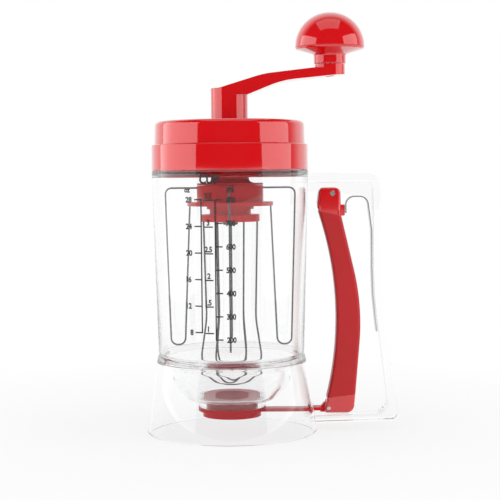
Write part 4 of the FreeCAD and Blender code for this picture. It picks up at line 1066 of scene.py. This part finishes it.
@dataclass
class Studio:
    """Floor, lamps, surroundings and camera."""

    camera_distance: float = 0.871
    camera_height: float = 0.1635
    camera_side: float = 0.0125
    pitch: float = 3.05
    roll: float = -0.5
    focal_pixels: float = 1350.0
    image_pixels: float = 500.0
    fill: float = 0.45
    front_mirror: float = 0.04
    front_through: float = 0.75
    back_start: float = 0.15
    back_slope: float = 2.5
    floor_size: float = 6.0
    floor_paint: float = 0.92
    floor_near: float = 0.8
    fade_start: float = 0.1
    fade_slope: float = 4.0
    aim_height: float = 0.13
    bounces: int = 28
    mirror_bounces: int = 20
    lamps: tuple[Softbox, ...] = (
        Softbox("left_softbox", -83.0, 8.0, 0.9, 1.25, 0.9, 1.7),
        Softbox("right_softbox", 73.0, 8.0, 0.9, 0.88, 0.9, 1.7),
        Softbox("top_softbox", 0.0, 80.0, 1.0, 0.9, 0.7, 0.8),
        Softbox("front_fill", 0.0, 20.0, 1.2, 0.9, 0.7, 1.2, mirrored=False),
    )

    def floor(self) -> None:
        """Pale floor that fades to white away from the object."""
        material = bpy.data.materials.new("pale_floor")
        bench = Bench(material)
        grey = (self.floor_paint, self.floor_paint, self.floor_paint, 1.0)
        paint = bench.node("ShaderNodeBsdfDiffuse", values={"Color": grey})
        glow = bench.node("ShaderNodeEmission", values={"Color": (1.0, 1.0, 1.0, 1.0), "Strength": 1.0})
        distance = bench.node("ShaderNodeVectorMath", {"operation": "LENGTH"}, {0: bench.place()},
                              output="Value")
        fade = ((distance - self.fade_start) * self.fade_slope).limit(0.0, 1.0)
        far = fade * (1 - self.floor_near) + self.floor_near
        mixed = bench.node("ShaderNodeMixShader", values={0: far * self.seen(bench), 1: paint, 2: glow})
        bench.node("ShaderNodeOutputMaterial", values={"Surface": mixed})
        mesh = bmesh.new()
        bmesh.ops.create_grid(mesh, x_segments=1, y_segments=1, size=self.floor_size)
        plane = new_piece("floor", mesh)
        plane.data.materials.append(material)

    @staticmethod
    def seen(bench: Bench) -> Signal:
        """1 where a ray comes from the camera, a reflection or through clear plastic."""
        camera = bench.node("ShaderNodeLightPath", output="Is Camera Ray")
        glossy = bench.node("ShaderNodeLightPath", output="Is Glossy Ray")
        through = bench.node("ShaderNodeLightPath", output="Is Transmission Ray")
        return camera.larger(glossy).larger(through)

    def surroundings(self) -> None:
        """White room, dark at the front for reflections and a little dimmer there through clear plastic."""
        world = bpy.data.worlds.new("tent")
        bpy.context.scene.world = world
        bench = Bench(world)
        direction = bench.node("ShaderNodeTexCoord", output="Generated")
        depth = bench.node("ShaderNodeSeparateXYZ", values={0: direction}, output="Y")
        behind = ((depth - self.back_start) * self.back_slope).limit(0.0, 1.0)
        mirror = self.front_mirror + behind * (1 - self.front_mirror)
        inside = self.front_through + behind * (1 - self.front_through)
        camera = bench.node("ShaderNodeLightPath", output="Is Camera Ray")
        glossy = bench.node("ShaderNodeLightPath", output="Is Glossy Ray")
        through = bench.node("ShaderNodeLightPath", output="Is Transmission Ray")
        rest = 1 - self.seen(bench)
        strength = camera + through * inside + glossy * (1 - through) * mirror + rest * self.fill
        glow = bench.node("ShaderNodeBackground",
                          values={"Color": (1.0, 1.0, 1.0, 1.0), "Strength": strength})
        bench.node("ShaderNodeOutputWorld", values={"Surface": glow})

    def camera(self) -> None:
        """Camera at the photograph's viewpoint."""
        data = bpy.data.cameras.new("camera")
        data.sensor_width = 36.0
        data.lens = self.focal_pixels * data.sensor_width / self.image_pixels
        data.clip_start, data.clip_end = 0.05, 30.0
        camera = bpy.data.objects.new("camera", data)
        bpy.context.scene.collection.objects.link(camera)
        camera.location = (self.camera_side, -self.camera_distance, self.camera_height)
        tilt = Matrix.Rotation(math.radians(90 - self.pitch), 4, "X")
        turn = Matrix.Rotation(math.radians(self.roll), 4, "Z")
        camera.rotation_mode = "QUATERNION"
        camera.rotation_quaternion = (tilt @ turn).to_quaternion()
        bpy.context.scene.camera = camera

    def build(self) -> None:
        """Set up the whole studio."""
        bpy.context.scene.view_settings.view_transform = "Standard"
        paths = bpy.context.scene.cycles
        paths.max_bounces = paths.transmission_bounces = self.bounces
        paths.glossy_bounces = self.mirror_bounces
        self.floor()
        self.surroundings()
        for lamp in self.lamps:
            lamp.build(Vector((0.0, 0.0, self.aim_height)))
        self.camera()


def main() -> None:
    """Build every sub-assembly in order."""
    logging.basicConfig(level=logging.INFO, format="%(name)s: %(message)s")
    for part in (Studio(), Jar(), Outlet(), Lid(), Whisks(), Crank(), Trigger(), PrintedScale()):
        part.build()


if __name__ == "__main__":
    main()
